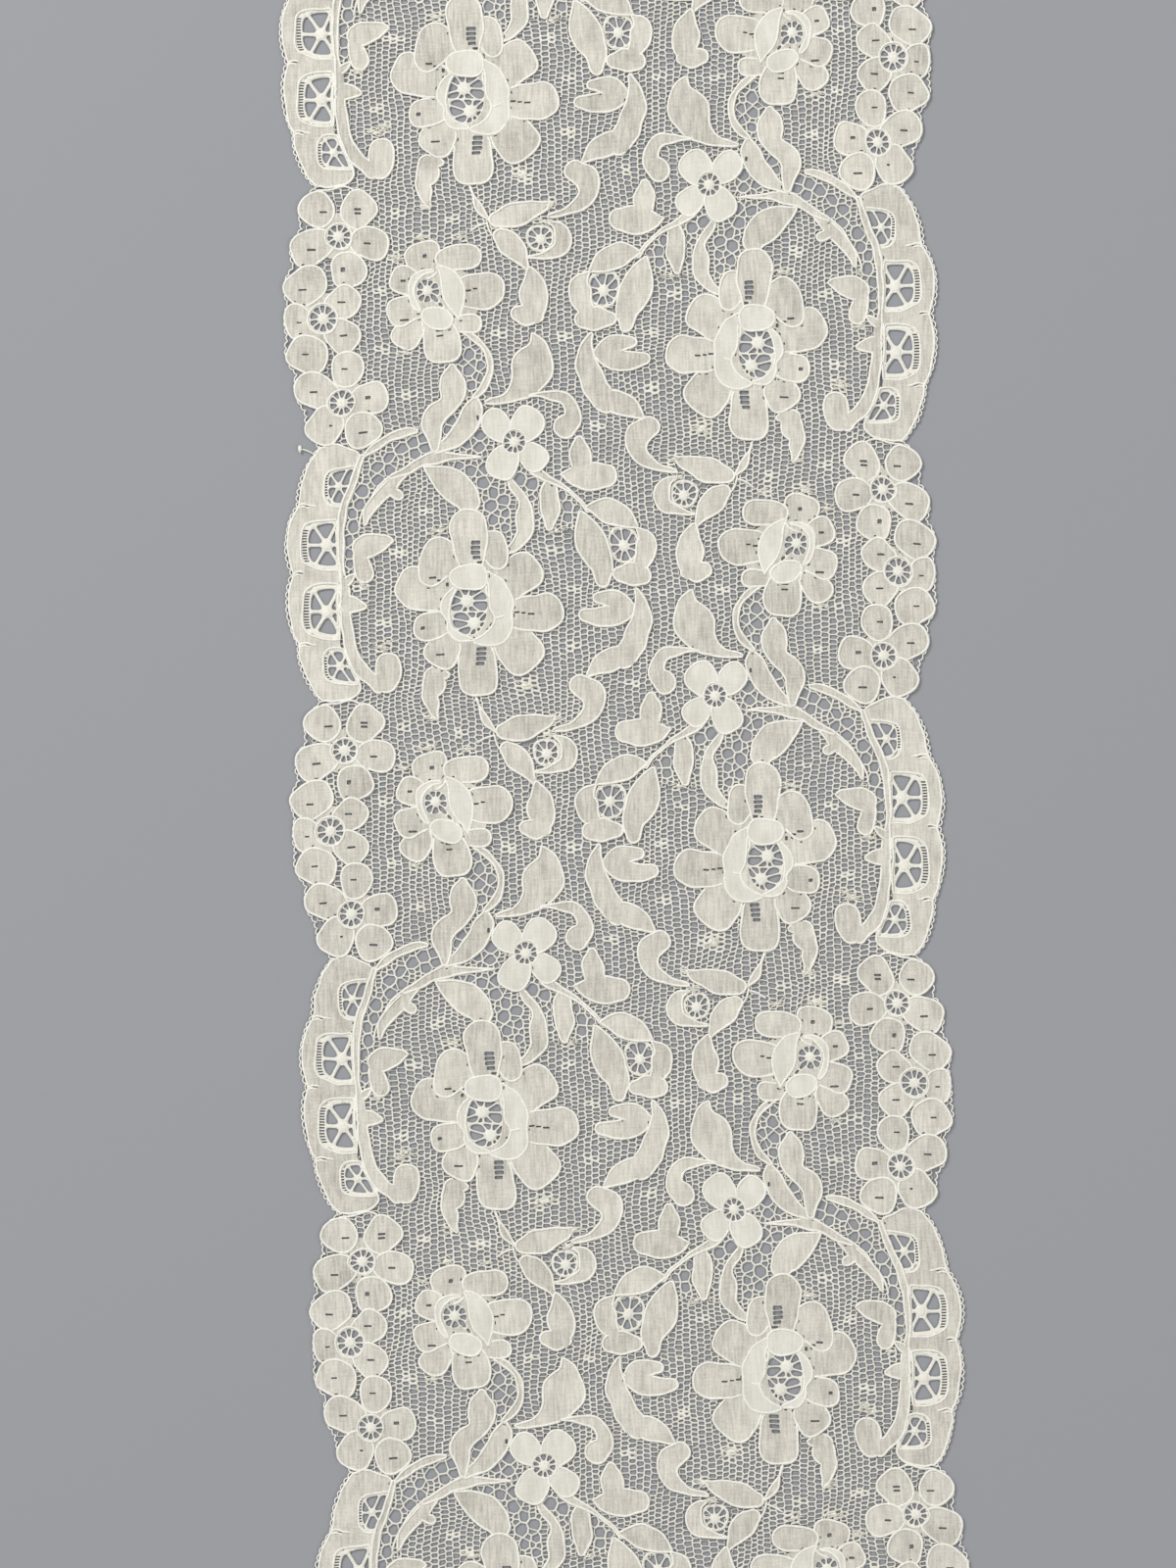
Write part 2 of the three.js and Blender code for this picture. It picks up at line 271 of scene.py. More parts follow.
# Openwork between the stems: the outline of the ground, which runs on under the motifs round it, then
# its large holes as (out, along, width, height). Small holes fill what they leave.
OPENWORKS = [
    ([(54.0, 25.0), (55.0, 28.0), (55.2, 34.0), (54.4, 39.4), (52.1, 44.3), (50.4, 49.4), (48.2, 51.0),
      (45.0, 53.0), (42.0, 54.1), (39.6, 54.4), (36.6, 53.6), (36.2, 50.8), (36.6, 48.9), (39.5, 47.6),
      (42.0, 46.2), (44.6, 44.6), (47.6, 40.8), (49.6, 37.8), (50.2, 35.6), (51.0, 33.0), (51.8, 30.0),
      (51.2, 27.0), (52.4, 25.6)],
     [(47.5, 47.2, 1.8, 1.5), (44.9, 46.4, 1.4, 1.7), (47.2, 44.5, 2.0, 1.6), (50.5, 42.5, 2.0, 1.9),
      (51.0, 39.8, 1.9, 1.4), (52.8, 38.1, 1.3, 1.6), (50.8, 37.8, 0.9, 1.0), (52.6, 35.4, 1.7, 1.9),
      (53.7, 32.6, 1.7, 1.3), (53.7, 30.0, 1.3, 1.4), (53.5, 27.8, 0.9, 1.4),
      (42.6, 50.8, 1.7, 1.6), (40.4, 52.2, 1.5, 1.7), (38.4, 52.9, 1.7, 1.4), (37.9, 51.0, 1.4, 1.6),
      (39.9, 49.6, 1.6, 1.5), (45.1, 49.2, 1.5, 1.4)]),
    ([(36.6, 48.9), (36.0, 50.4), (32.0, 52.8), (29.8, 55.4), (28.4, 58.0), (25.5, 58.0), (23.5, 55.4),
      (21.5, 52.0), (22.3, 47.8), (20.9, 43.6), (18.4, 39.8), (18.2, 36.0), (18.3, 33.2), (19.9, 31.0),
      (22.4, 29.6), (24.6, 31.0), (27.4, 34.0), (28.6, 38.0), (29.2, 40.2), (30.0, 41.5), (31.8, 43.3),
      (34.2, 44.9), (36.4, 46.2), (38.6, 47.2), (38.6, 48.0)],
     [(29.8, 51.8, 1.3, 1.4), (27.2, 51.2, 1.5, 1.6), (27.0, 53.8, 2.2, 1.6), (33.8, 47.4, 1.3, 0.8),
      (31.2, 47.4, 1.4, 1.1), (28.9, 46.4, 1.5, 1.8), (25.9, 47.0, 1.9, 1.7), (26.4, 44.0, 1.8, 1.8),
      (24.3, 42.1, 1.2, 1.5), (22.1, 40.4, 1.3, 1.8), (24.8, 39.3, 1.8, 1.6), (21.9, 37.6, 1.2, 1.2),
      (24.3, 36.4, 1.5, 1.7), (22.0, 34.8, 1.2, 1.2)]),
    ([(20.5, 46.5), (17.5, 47.5), (14.8, 45.4), (12.4, 44.0), (10.0, 42.5), (7.8, 40.6), (6.0, 38.9),
      (5.6, 36.6), (6.8, 34.6), (9.6, 33.2), (13.0, 33.6), (15.6, 33.4), (18.0, 33.4), (18.2, 36.0),
      (18.2, 39.6), (20.5, 43.0), (21.6, 45.4)],
     [(18.9, 44.4, 2.2, 1.7), (16.4, 43.3, 1.9, 1.7), (16.5, 40.4, 0.8, 1.2), (15.4, 36.6, 0.8, 1.2),
      (10.2, 40.6, 1.4, 1.4), (9.0, 38.4, 1.5, 1.8), (9.2, 36.0, 1.5, 1.6), (7.3, 37.9, 0.9, 1.3)]),
    ([(31.5, -29.8), (28.6, -30.4), (26.2, -32.6), (24.9, -35.4), (24.8, -38.2), (26.2, -41.2),
      (28.2, -43.2), (30.0, -45.0), (31.4, -42.5), (32.4, -39.6), (33.2, -36.4), (34.0, -34.0),
      (33.0, -31.0)],
     [(29.3, -31.8, 1.3, 1.0), (28.9, -34.3, 1.6, 1.7), (31.3, -34.9, 1.1, 1.3), (31.0, -37.4, 1.3, 1.1),
      (29.1, -37.5, 1.6, 1.8), (26.6, -36.4, 0.9, 1.3), (26.6, -39.2, 0.9, 1.4), (28.8, -40.4, 1.2, 1.6),
      (27.3, -32.9, 1.0, 0.8)]),
    ([(33.4, -44.6), (35.7, -46.4), (36.6, -48.0), (36.4, -50.6), (36.2, -53.2), (32.6, -52.2),
      (30.1, -49.6), (29.6, -47.5), (31.6, -45.5)],
     [(32.9, -47.3, 1.5, 1.4), (33.7, -49.4, 1.2, 1.1)]),
]

# Pads of thread on the net, as (out, along, width, height): woven dots, then patches left where
# floats were cut away.
DOTS = [
    (38.2, 38.2, 2.4, 1.2), (43.5, 30.0, 2.4, 1.1), (46.5, 15.7, 2.2, 1.2), (43.5, -5.3, 2.4, 1.1),
    (47.0, -20.5, 2.4, 1.2), (46.2, -33.0, 2.2, 1.1), (41.3, -42.0, 2.2, 1.1), (12.0, 29.5, 2.2, 1.1),
    (8.0, 21.5, 2.2, 1.1), (8.3, 10.3, 2.2, 1.1), (22.3, -30.2, 2.2, 1.1), (9.5, -30.5, 2.2, 1.1),
    (31.8, -6.8, 2.2, 1.2), (2.5, -49.3, 2.2, 1.1),
]
PATCHES = [
    (47.3, 11.2, 2.6, 2.0), (45.8, 12.3, 2.0, 1.6), (37.4, -3.6, 2.2, 2.6), (38.6, -9.8, 3.6, 1.8),
    (30.5, -10.3, 2.6, 1.4), (43.4, -13.8, 2.4, 1.6), (12.0, -4.0, 2.4, 1.8), (13.5, -7.5, 2.2, 1.4),
    (17.8, 2.3, 4.6, 3.2), (51.0, 23.8, 2.6, 1.8), (35.0, 34.3, 3.6, 1.8), (42.0, -33.5, 2.4, 1.6),
    (11.5, 33.5, 2.2, 1.4),
]

# Single cords laid on the rest, as runs of (out, along).
LOOSE_CORDS = [
    [(64.0, 39.9), (62.9, 40.5), (61.5, 40.1), (60.0, 39.9)], [(63.9, 39.5), (62.8, 39.85), (61.7, 39.5)],
    [(65.3, 25.9), (64.2, 26.4), (62.9, 26.2)], [(65.2, 25.5), (64.3, 25.8), (63.4, 25.6)],
    [(64.3, 11.4), (63.1, 12.0), (61.8, 11.6), (60.6, 11.4)], [(64.2, 11.0), (63.1, 11.35), (61.9, 11.0)],
    [(60.0, -0.5), (57.0, -0.3), (54.0, 0.4), (51.5, -0.6)],
    [(22.0, 16.9), (23.2, 16.4), (24.6, 16.3)], [(25.0, -7.0), (24.4, -9.4), (23.3, -11.0)],
    [(24.6, -7.6), (26.6, -8.2), (28.4, -9.3)],
    [(45.0, 44.6), (47.5, 42.3), (49.6, 39.8), (50.9, 37.5), (51.5, 35.3)],
]

# --- pattern: outlines ---
OUTLINE_STEP = 0.62  # millimetres between points of an outline
TINY = 1e-9  # keeps a division by a length of nothing finite
RIPPLE_WAVES = 7
RIPPLE_SPANS = ((0, 2 * math.pi), (0.6, 1.5), (0, 6.3))  # of a wave's heading, pace and phase


def beside(*columns):
    """The columns as one array."""
    return np.column_stack(columns)


def lengths(steps):
    """How long each step is across and up the trim."""
    return np.hypot(steps[:, 0], steps[:, 1])


def reaches(line):
    """How far along a line each of its points is."""
    return np.concatenate([[0], np.cumsum(lengths(np.diff(line, axis=0)))])


def points_at(line, reach, where):
    """Points of a line at places along it, where reach is how far along its own points are."""
    return beside(*(np.interp(where, reach, line[:, axis]) for axis in (0, 1)))


def spline(rows, step=OUTLINE_STEP):
    """A smooth run through the rows of numbers, about one step apart in the first two."""
    rows = np.asarray(rows, float)
    ends = np.vstack([2 * rows[0] - rows[1], rows, 2 * rows[-1] - rows[-2]])
    runs = []
    for before, start, stop, after in zip(ends, ends[1:], ends[2:], ends[3:]):
        count = max(2, int(round(np.hypot(*(stop - start)[:2]) / step)))
        t = (np.arange(count) / count)[:, None]
        runs.append(0.5 * (2 * start + (stop - before) * t
                           + (2 * before - 5 * start + 4 * stop - after) * t ** 2
                           + (3 * start - before - 3 * stop + after) * t ** 3))
    return np.vstack(runs + [rows[-1:]])


def evenly(points, step=OUTLINE_STEP):
    """The closed outline with its points about one step apart."""
    loop = np.vstack([points, points[:1]])
    reach = reaches(loop)
    count = max(10, int(round(reach[-1] / step)))
    return points_at(loop, reach, np.linspace(0, reach[-1], count, endpoint=False))


def squarish(angle, power):
    """Cosines and sines of the angles, for a round that is squarer the smaller the power is."""
    return [np.sign(wave) * np.abs(wave) ** power for wave in (np.cos(angle), np.sin(angle))]


def set_down(out, along, forward, aside, heading):
    """The outline given along and across its heading, at its place in the pattern."""
    turn = math.radians(heading)
    return evenly(beside(out + forward * math.cos(turn) - aside * math.sin(turn),
                         along + forward * math.sin(turn) + aside * math.cos(turn)))


def lobe(out, along, length, width, heading, taper=0.12, fullness=2.4):
    """An egg: round all over, a little narrower towards its root."""
    angle = np.linspace(0, 2 * math.pi, 60, endpoint=False)
    forward, aside = squarish(angle, 2 / fullness)
    aside = width / 2 * aside * (1 + taper * forward)
    return set_down(out, along, length / 2 * forward, aside, heading)


def petal(out, along, length, width, heading, root=1.0):
    """The cord round a lobe of that size over all; root stretches the half towards its root."""
    outline = lobe(0, 0, length - 2 * INSET, width - 2 * INSET, 0)
    outline[:, 0] *= np.where(outline[:, 0] < 0, root, 1)
    return set_down(out, along, outline[:, 0], outline[:, 1], heading)


def stroke(rows):
    """The cord round a brush stroke along a route, with round ends where it is wide."""
    run = spline(rows, OUTLINE_STEP * 0.8)
    run[:, 2] = np.maximum(run[:, 2] - 2 * INSET, 0.12)
    course = np.gradient(run[:, :2], axis=0)
    course /= lengths(course)[:, None]
    aside = beside(-course[:, 1], course[:, 0]) * run[:, 2:3] / 2
    turn = np.linspace(0, math.pi, 9)[1:-1]

    def cap(index, direction):
        across, onward = aside[index] * direction, course[index] * direction * run[index, 2] / 2
        return run[index, :2] + np.outer(np.cos(turn), across) + np.outer(np.sin(turn), onward)

    return evenly(np.vstack([run[:, :2] + aside, cap(-1, 1), (run[:, :2] - aside)[::-1], cap(0, -1)]))


def arc_lobe(start, stop, rise):
    """Points (out, along) of one arc of the edge, without its first point."""
    chord = np.subtract(stop, start)
    half = np.hypot(*chord) / 2
    outward = np.array([chord[1], -chord[0]]) / (2 * half)
    radius = (half ** 2 + rise ** 2) / (2 * rise)
    sweep = math.asin(half / radius)
    angle = sweep * np.linspace(-1, 1, max(3, int(2 * half / OUTLINE_STEP)) + 1)[1:]
    return (np.asarray(start) + np.outer(0.5 + radius * np.sin(angle) / (2 * half), chord)
            + np.outer(radius * np.cos(angle) - radius + rise, outward))


def edge_run(first=0, last=len(EDGE_LOBES) - 1, inset=0.0):
    """The edge from one row of EDGE_LOBES to another, as (out, along)."""
    cusps = [(out - inset, along) for along, out, _ in EDGE_LOBES]
    runs = [arc_lobe(cusps[index], cusps[index + 1], EDGE_LOBES[index + 1][2])
            for index in range(first, last)]
    return np.vstack([[cusps[first]]] + runs)


def window_side(low, high, outer, angle):
    """Points of a window's rounded side, for angles from -90 to 90 degrees."""
    reach, rise = squarish(angle, 2 / WINDOW_SQUARENESS)
    blend = (1 + rise) / 2
    inner = low[0] + (high[0] - low[0]) * blend
    return beside(inner + (outer - inner) * reach, low[1] + (high[1] - low[1]) * blend)


def window_outline(low, high, outer):
    """A window: straight on its inner side, rounded on its outer one."""
    return evenly(window_side(low, high, outer, np.linspace(-math.pi / 2, math.pi / 2, 33)))


def wheel_outline(out, along, radius):
    return lobe(out, along, 2 * radius, 2 * radius, 0, taper=0, fullness=2)


def flower_petals(centre, petals):
    for out, along, length, width in petals:
        heading = math.degrees(math.atan2(along - centre[1], out - centre[0]))
        yield petal(out, along, length, width, heading, root=1.15)


def slit_outline(out, along, width, height):
    return (out, along) + SLIT_CORNERS * (width / 2, height / 2)


def inside(points, outline):
    """Which points lie inside a closed outline."""
    after = np.roll(outline, -1, axis=0)
    across, height = points[:, :1], points[:, 1:]
    spans = (outline[:, 1] > height) != (after[:, 1] > height)
    rise = np.where(after[:, 1] == outline[:, 1], TINY, after[:, 1] - outline[:, 1])
    crossing = outline[:, 0] + (height - outline[:, 1]) * (after[:, 0] - outline[:, 0]) / rise
    return ((across < crossing) & spans).sum(axis=1) % 2 == 1


def grown(outline, amount):
    """The closed outline moved outwards."""
    after, before = np.roll(outline, -1, axis=0), np.roll(outline, 1, axis=0)
    turning = np.sign(np.sum(outline[:, 0] * after[:, 1] - after[:, 0] * outline[:, 1]))
    course = after - before
    outwards = beside(course[:, 1], -course[:, 0]) * turning
    outwards /= lengths(outwards)[:, None] + TINY
    return outline + outwards * np.broadcast_to(amount, len(outline))[:, None]


def ripple(points, size, seed):
    """Smooth unevenness between about -1 and 1, with lumps of about that size."""
    random = np.random.default_rng(seed)
    total = np.zeros(len(points))
    for _ in range(RIPPLE_WAVES):
        heading, pace, phase = [random.uniform(*span) for span in RIPPLE_SPANS]
        wave = points[:, 0] * math.cos(heading) + points[:, 1] * math.sin(heading)
        total += np.sin(wave * pace * math.pi / size + phase)
    return total / 4


def half_repeat_motifs():
    """Every motif of one side over one repeat, lowest first: (outline, cloth, radius of its cord,
    number of the motif that it is part of)."""
    motifs = []

    def add(outlines, cloth, cord=CORD):
        """One motif of one or more outlines, whose cord goes round them all."""
        number = len(motifs)
        for outline in outlines:
            uneven = WOBBLE * (ripple(outline, 3.0, 100 + number) + ripple(outline, 6.0, 200 + number))
            motifs.append((grown(outline, uneven), cloth, cord, number))

    scallop = evenly(np.vstack([edge_run(*SCALLOP_ROWS, inset=0.3), spline(SCALLOP_INSIDE)[1:-1]]))
    add([grown(scallop, -INSET)], PLAIN)
    for row in FLOWER_BASES:
        add([lobe(*row, taper=0)], PLAIN, 0)
    for low, high, outer, _ in WINDOWS:
        add([grown(window_outline(low, high, outer), 0.2)], OPEN, WINDOW_CORD)
    for centre, radius, petals in EDGE_FLOWERS:
        for outline in flower_petals(centre, petals):
            add([outline], PLAIN)
        add([wheel_outline(*centre, radius + 0.2)], OPEN, WHEEL_CORD)
    for opening, _ in LEAF_WHEELS:
        add([lobe(*opening)], OPEN, 0)
    add([stroke(LEAF_WHEEL_TAIL)], OPEN, 0)
    for strokes in LEAVES:
        add([stroke(rows) for rows in strokes], PLAIN)
    for row in LARGE_FLOWER + MEDIUM_FLOWER:
        add([petal(*row, root=1.5)], PLAIN)
    for eye in ([lobe(*LARGE_EYE)], [lobe(*MEDIUM_EYE), stroke(MEDIUM_EYE_TAIL)]):
        add(eye, OPEN, 0)
    for strokes in (LARGE_COLLAR, MEDIUM_COLLAR):
        add([stroke(rows) for rows in strokes], DENSE)
    for row in FLOWER_HEARTS:
        add([petal(*row)], DENSE)
    add([stroke(rows) for rows in SCALLOP_STROKES] + [petal(*SCALLOP_BULB)], PLAIN)
    centre, radius, petals = SMALL_FLOWER
    for outline in flower_petals(centre, petals):
        add([outline], DENSE)
    add([wheel_outline(*centre, radius)], OPEN, SMALL_WHEEL_CORD)
    return motifs


# --- laying the pattern out ---
MM = 0.001
HALF_LENGTH = float(cad_bounds[1][1] - cad_bounds[0][1]) / MM / 2
FAR_START = 1.0  # where the right side's pattern starts, and how far it is stretched
FAR_STRETCH = 0.978
SHIFTS = [number * REPEAT for number in range(-2, 3)]
COPIES = [(side, shift) for side in (-1, 1) for shift in SHIFTS]


def on_trim(points, margin=0.0):
    """Which points lie so far within the two cut ends."""
    return np.abs(points[:, 1]) < HALF_LENGTH - margin


def place(side, points):
    """Points (out, along) of one side as (x, y) across and up the trim."""
    out, y = points[:, 0], points[:, 1] + PHASE
    x = OVERLAP - out
    if side > 0:
        y = y + HALF_REPEAT - SKEW * out
        x = FAR_START + FAR_STRETCH * out
    shift, size, span, start = SWAY
    return beside(x + shift + size * np.cos(2 * math.pi * (y - start) / span), y)


def edge_reach(side):
    """How far the edge reaches from the sway's zero, over the cut length."""
    points = np.vstack([place(side, edge_run() + (0, shift)) for shift in SHIFTS])
    return np.abs(points[on_trim(points), 0]).max()


CENTRING = (edge_reach(-1) - edge_reach(1)) / 2


def laid(side, shift, points):
    """Points (out, along) of a copy of the pattern where they lie, a little unevenly."""
    spot = place(side, np.asarray(points, float) + (0, shift))
    x, y = spot[:, 0], spot[:, 1]
    drift = beside(0.20 * np.sin(x / 9.1 + y / 14.3) + 0.12 * np.sin(y / 5.3 + x / 21 + 1.7),
                   0.18 * np.sin(x / 7.7 - y / 11.9) + 0.12 * np.sin(x / 4.9 + y / 17 + 0.6))
    fine = 0.09 * beside(ripple(spot, 2.6, 21), ripple(spot, 2.6, 22))
    return spot + drift + fine + (CENTRING, 0)


def copies(points):
    """Every copy of an outline or run that touches the cut length, as (copy, side, points)."""
    for copy, (side, shift) in enumerate(COPIES):
        spot = laid(side, shift, points)
        if on_trim(spot).any():
            yield copy, side, spot


def spots(points):
    """Only the points of every such copy."""
    return [spot for _, _, spot in copies(points)]


# --- charts of what the cloth is where ---
PIXEL = 0.12
SHADES = 3  # of woven cloth, from motif to motif
LOW = np.array([-70.0, -HALF_LENGTH - 3])
COLUMNS, ROWS = (np.ceil((-LOW * 2) / PIXEL)).astype(int)


def paint(chart, outline, value):
    """Fill a closed outline on the chart."""
    start = (outline - LOW) / PIXEL - 0.5
    stop = np.roll(start, -1, axis=0)
    first = max(int(np.ceil(start[:, 1].min())), 0)
    last = min(int(np.floor(start[:, 1].max())), ROWS - 1)
    left = max(int(start[:, 0].min()) - 1, 0)
    right = min(int(start[:, 0].max()) + 2, COLUMNS)
    if last < first or right <= left:
        return
    rows = np.arange(first, last + 1)
    rising = (start[:, 1:2] <= rows) & (stop[:, 1:2] > rows)
    falling = (stop[:, 1:2] <= rows) & (start[:, 1:2] > rows)
    edge, row = np.nonzero(rising | falling)
    part = (rows[row] - start[edge, 1]) / (stop[edge, 1] - start[edge, 1])
    column = np.ceil(start[edge, 0] + part * (stop[edge, 0] - start[edge, 0])).astype(int) - left
    turns = np.zeros((len(rows), right - left + 1), int)
    np.add.at(turns, (row, np.clip(column, 0, right - left)), np.where(rising[edge, row], 1, -1))
    filled = np.cumsum(turns, axis=1)[:, :-1] != 0
    chart[first:last + 1, left:right][filled] = value


def read(chart, points):
    """The chart's value under each point."""
    cell = np.floor((points - LOW) / PIXEL).astype(int)
    return chart[np.clip(cell[:, 1], 0, ROWS - 1), np.clip(cell[:, 0], 0, COLUMNS - 1)]


def blurred(chart, reach):
    """The chart averaged over squares that reach so many millimetres each way."""
    size = int(round(reach / PIXEL))
    result = np.asarray(chart, float)
    for axis in (0, 1):
        margins = [(0, 0), (0, 0)]
        margins[axis] = (size + 1, size)
        total = np.cumsum(np.pad(result, margins, mode="edge"), axis=axis)
        upper = np.take(total, range(2 * size + 1, total.shape[axis]), axis=axis)
        lower = np.take(total, range(total.shape[axis] - 2 * size - 1), axis=axis)
        result = (upper - lower) / (2 * size + 1)
    return result


def new_chart(value=0, form=np.uint8):
    return np.full((ROWS, COLUMNS), value, form)


kind = new_chart(NET)  # what the cloth is
cover = new_chart(-1, np.int32)  # the number of the outline on top
strip = new_chart()  # 1 within the scalloped edges
for region, _ in OPENWORKS:
    for outline in spots(evenly(region)):
        paint(kind, outline, OPENWORK)
outlines = []  # (side, outline, cloth, cord radius, which copy of which motif it is part of)
for outline, cloth, cord, number in half_repeat_motifs():
    for copy, side, spot in copies(outline):
        paint(kind, spot, cloth)
        paint(cover, grown(spot, OPEN_COVERED if cloth == OPEN else COVERED), len(outlines))
        outlines.append((side, spot, cloth, cord, (copy, number)))
showing = []  # which points of each outline have their cord on show
for index, (_, spot, _, _, motif) in enumerate(outlines):
    shown = (read(cover, spot) == index) & on_trim(spot, ENDS_CLEAR)
    for _, other, _, _, its_motif in outlines[:index]:
        if its_motif == motif:
            shown &= ~inside(spot, grown(other, -MERGED))
    showing.append(shown)
slits = [spot for row in SLITS for spot in spots(slit_outline(*row))]
for slit in slits:
    paint(kind, slit, OPEN)
edge = edge_run()
edge = np.vstack([edge, [[-2.0, edge[-1, 1] + 1], [-2.0, edge[0, 1] - 1]]])  # and past the centre line
for side, shift in COPIES:
    paint(strip, laid(side, shift, edge), 1)

# Stitches show as short dark slits where a motif's cord lies on the cloth of another.
random = np.random.default_rng(23)
for (_, spot, cloth, cord, _), shown in zip(outlines, showing):
    if not cord or cloth == OPEN:
        continue
    seam = grown(spot, SEAM_OFFSET)
    course = np.roll(seam, -1, axis=0) - np.roll(seam, 1, axis=0)
    course /= lengths(course)[:, None] + TINY
    free = shown & (read(kind, seam) >= PLAIN)
    for aside in SEAM_CLEARANCE:
        free &= read(kind, grown(spot, SEAM_OFFSET + aside)) >= PLAIN
    in_reach = on_trim(seam, 1)
    steps_left = 0
    for step in np.flatnonzero(free):
        steps_left -= 1
        if steps_left > 0:
            continue
        steps_left = random.choice(STITCH_STEPS)
        if random.random() < STITCHES_SKIPPED or not in_reach[step]:
            continue
        half_long, half_wide = random.uniform(0.26, 0.44), random.uniform(0.09, 0.14)
        across = course[step][::-1] * (-1, 1)
        slits.append(seam[step] + np.array([(u * half_long) * course[step] + (v * half_wide) * across
                                            for u, v in DASH]))
        paint(kind, slits[-1], OPEN)
cloth_close_by = blurred(kind >= PLAIN, 0.25)


# --- mesh helpers ---
CLOTH_UNDERSIDE = 0.10  # height of the underside of the woven motifs and the fillings
WHOLLY = 0.999  # a blurred chart has more than this where all round a point is set
DOME_RINGS = ((0.55, 0.0), (1.0, 0.35), (0.92, 0.7), (0.6, 0.95))  # (size, height) as shares
JOINED = 1e-3  # points nearer than this are one
THINNEST = 1e-5  # twice the area of the smallest triangle that is kept
ROW_SPACING = 0.866  # of loose points, for each millimetre between those of a row


def new_object(name, data):
    """An object in the scene."""
    thing = bpy.data.objects.new(name, data)
    bpy.context.scene.collection.objects.link(thing)
    return thing


class Soup:
    """Vertices and triangles gathered for one piece, in millimetres, and each triangle's material."""

    def __init__(self):
        self.points = []
        self.triangles = []
        self.tones = []
        self.count = 0

    def add(self, points, triangles, tone=0):
        self.points.append(points)
        self.triangles.append(triangles + self.count)
        self.tones.append(np.broadcast_to(tone, len(triangles)))
        self.count += len(points)

    def piece(self, name, *materials, crease=180):
        mesh = bpy.data.meshes.new(name)
        mesh.from_pydata(np.vstack(self.points) * MM, [], np.vstack(self.triangles))
        mesh.polygons.foreach_set("use_smooth", np.ones(len(mesh.polygons), bool))
        for material in materials:
            mesh.materials.append(material)
        mesh.polygons.foreach_set("material_index", np.concatenate(self.tones).astype(np.int32))
        mesh.update()
        mesh.set_sharp_from_angle(angle=math.radians(crease))
        return new_object(name, mesh)


def tube(soup, path, radius, sides, closed=False, flat=1.0):
    """A thread along path, an array of (x, y, z) rows; flat squashes it in height."""
    count = len(path)
    if closed:
        course = np.roll(path, -1, axis=0) - np.roll(path, 1, axis=0)
    else:
        course = np.gradient(path, axis=0)
    aside = beside(-course[:, 1], course[:, 0], np.zeros(count))
    aside /= lengths(aside)[:, None] + TINY
    angle = 2 * math.pi * (np.arange(sides) + 0.5) / sides
    radius = np.broadcast_to(np.asarray(radius, float), (count,))[:, None, None]
    across = np.cos(angle)[None, :, None] * aside[:, None, :]
    upward = np.sin(angle)[None, :, None] * np.array([0, 0, flat])
    ring = sides * np.arange(count if closed else count - 1)[:, None]
    side = np.arange(sides)
    here, there = (ring + side).ravel(), (ring + (side + 1) % sides).ravel()
    here_next, there_next = (here + sides) % (count * sides), (there + sides) % (count * sides)
    triangles = [beside(here, here_next, there_next), beside(here, there_next, there)]
    if not closed:
        fan = np.arange(1, sides - 1)
        last = (count - 1) * sides
        triangles += [beside(0 * fan, fan + 1, fan), beside(last + 0 * fan, last + fan, last + fan + 1)]
    soup.add((path[:, None, :] + radius * (across + upward)).reshape(-1, 3), np.vstack(triangles)[:, ::-1])


def dome(soup, centre, long, wide, low, high, turns=10):
    """A squashed round pad of thread between two heights, longer along the trim."""
    step = np.arange(turns)
    after = (step + 1) % turns
    angle = 2 * math.pi * step / turns
    wobble = 1 + 0.08 * np.sin(3 * angle + centre[0] + 2 * centre[1])
    points = [beside(centre[0] + wide / 2 * spread * wobble * np.cos(angle),
                     centre[1] + long / 2 * spread * wobble * np.sin(angle),
                     np.full(turns, low + (high - low) * rise)) for spread, rise in DOME_RINGS]
    points.append([[*centre, high], [*centre, low]])
    triangles = []
    for ring in range(len(DOME_RINGS) - 1):
        a, b = ring * turns + step, ring * turns + after
        triangles += [beside(a, b, b + turns), beside(a, b + turns, a + turns)]
    peak = 0 * step + len(DOME_RINGS) * turns
    triangles += [beside(a + turns, b + turns, peak), beside(after, step, peak + 1)]
    soup.add(np.vstack(points), np.vstack(triangles))


def triangulate(lines, loose):
    """Points and counterclockwise triangles over loose points and runs of points, (points, which of
    them are kept), whose steps are edges of the triangles."""
    points = np.vstack([line for line, _ in lines] + [loose])
    kept = np.ones(len(points), bool)
    edges = []
    start = 0
    for line, keep in lines:
        index = np.arange(len(line))
        after = (index + 1) % len(line)
        held = keep & keep[after]
        edges.append(start + beside(index[held], after[held]))
        kept[start + index] = keep
        start += len(line)
    edges = (np.cumsum(kept) - 1)[np.vstack(edges)]
    result = delaunay_2d_cdt([Vector(point) for point in points[kept]], edges.tolist(), [], 0, JOINED, False)
    points, triangles = np.array([tuple(point) for point in result[0]]), np.array(result[2])
    a, b, c = (points[triangles[:, corner]] for corner in range(3))
    turn = (b[:, 0] - a[:, 0]) * (c[:, 1] - a[:, 1]) - (b[:, 1] - a[:, 1]) * (c[:, 0] - a[:, 0])
    triangles[turn < 0] = triangles[turn < 0][:, ::-1]
    return points, triangles[np.abs(turn) > THINNEST]


def walls(edges, count):
    """Triangles down from the edges that only one face has, to the points that come count later."""
    _, index, seen = np.unique(np.sort(edges, axis=1), axis=0, return_index=True, return_counts=True)
    start, stop = edges[index[seen == 1]].T
    return np.vstack([beside(stop, start, start + count), beside(stop, start + count, stop + count)])


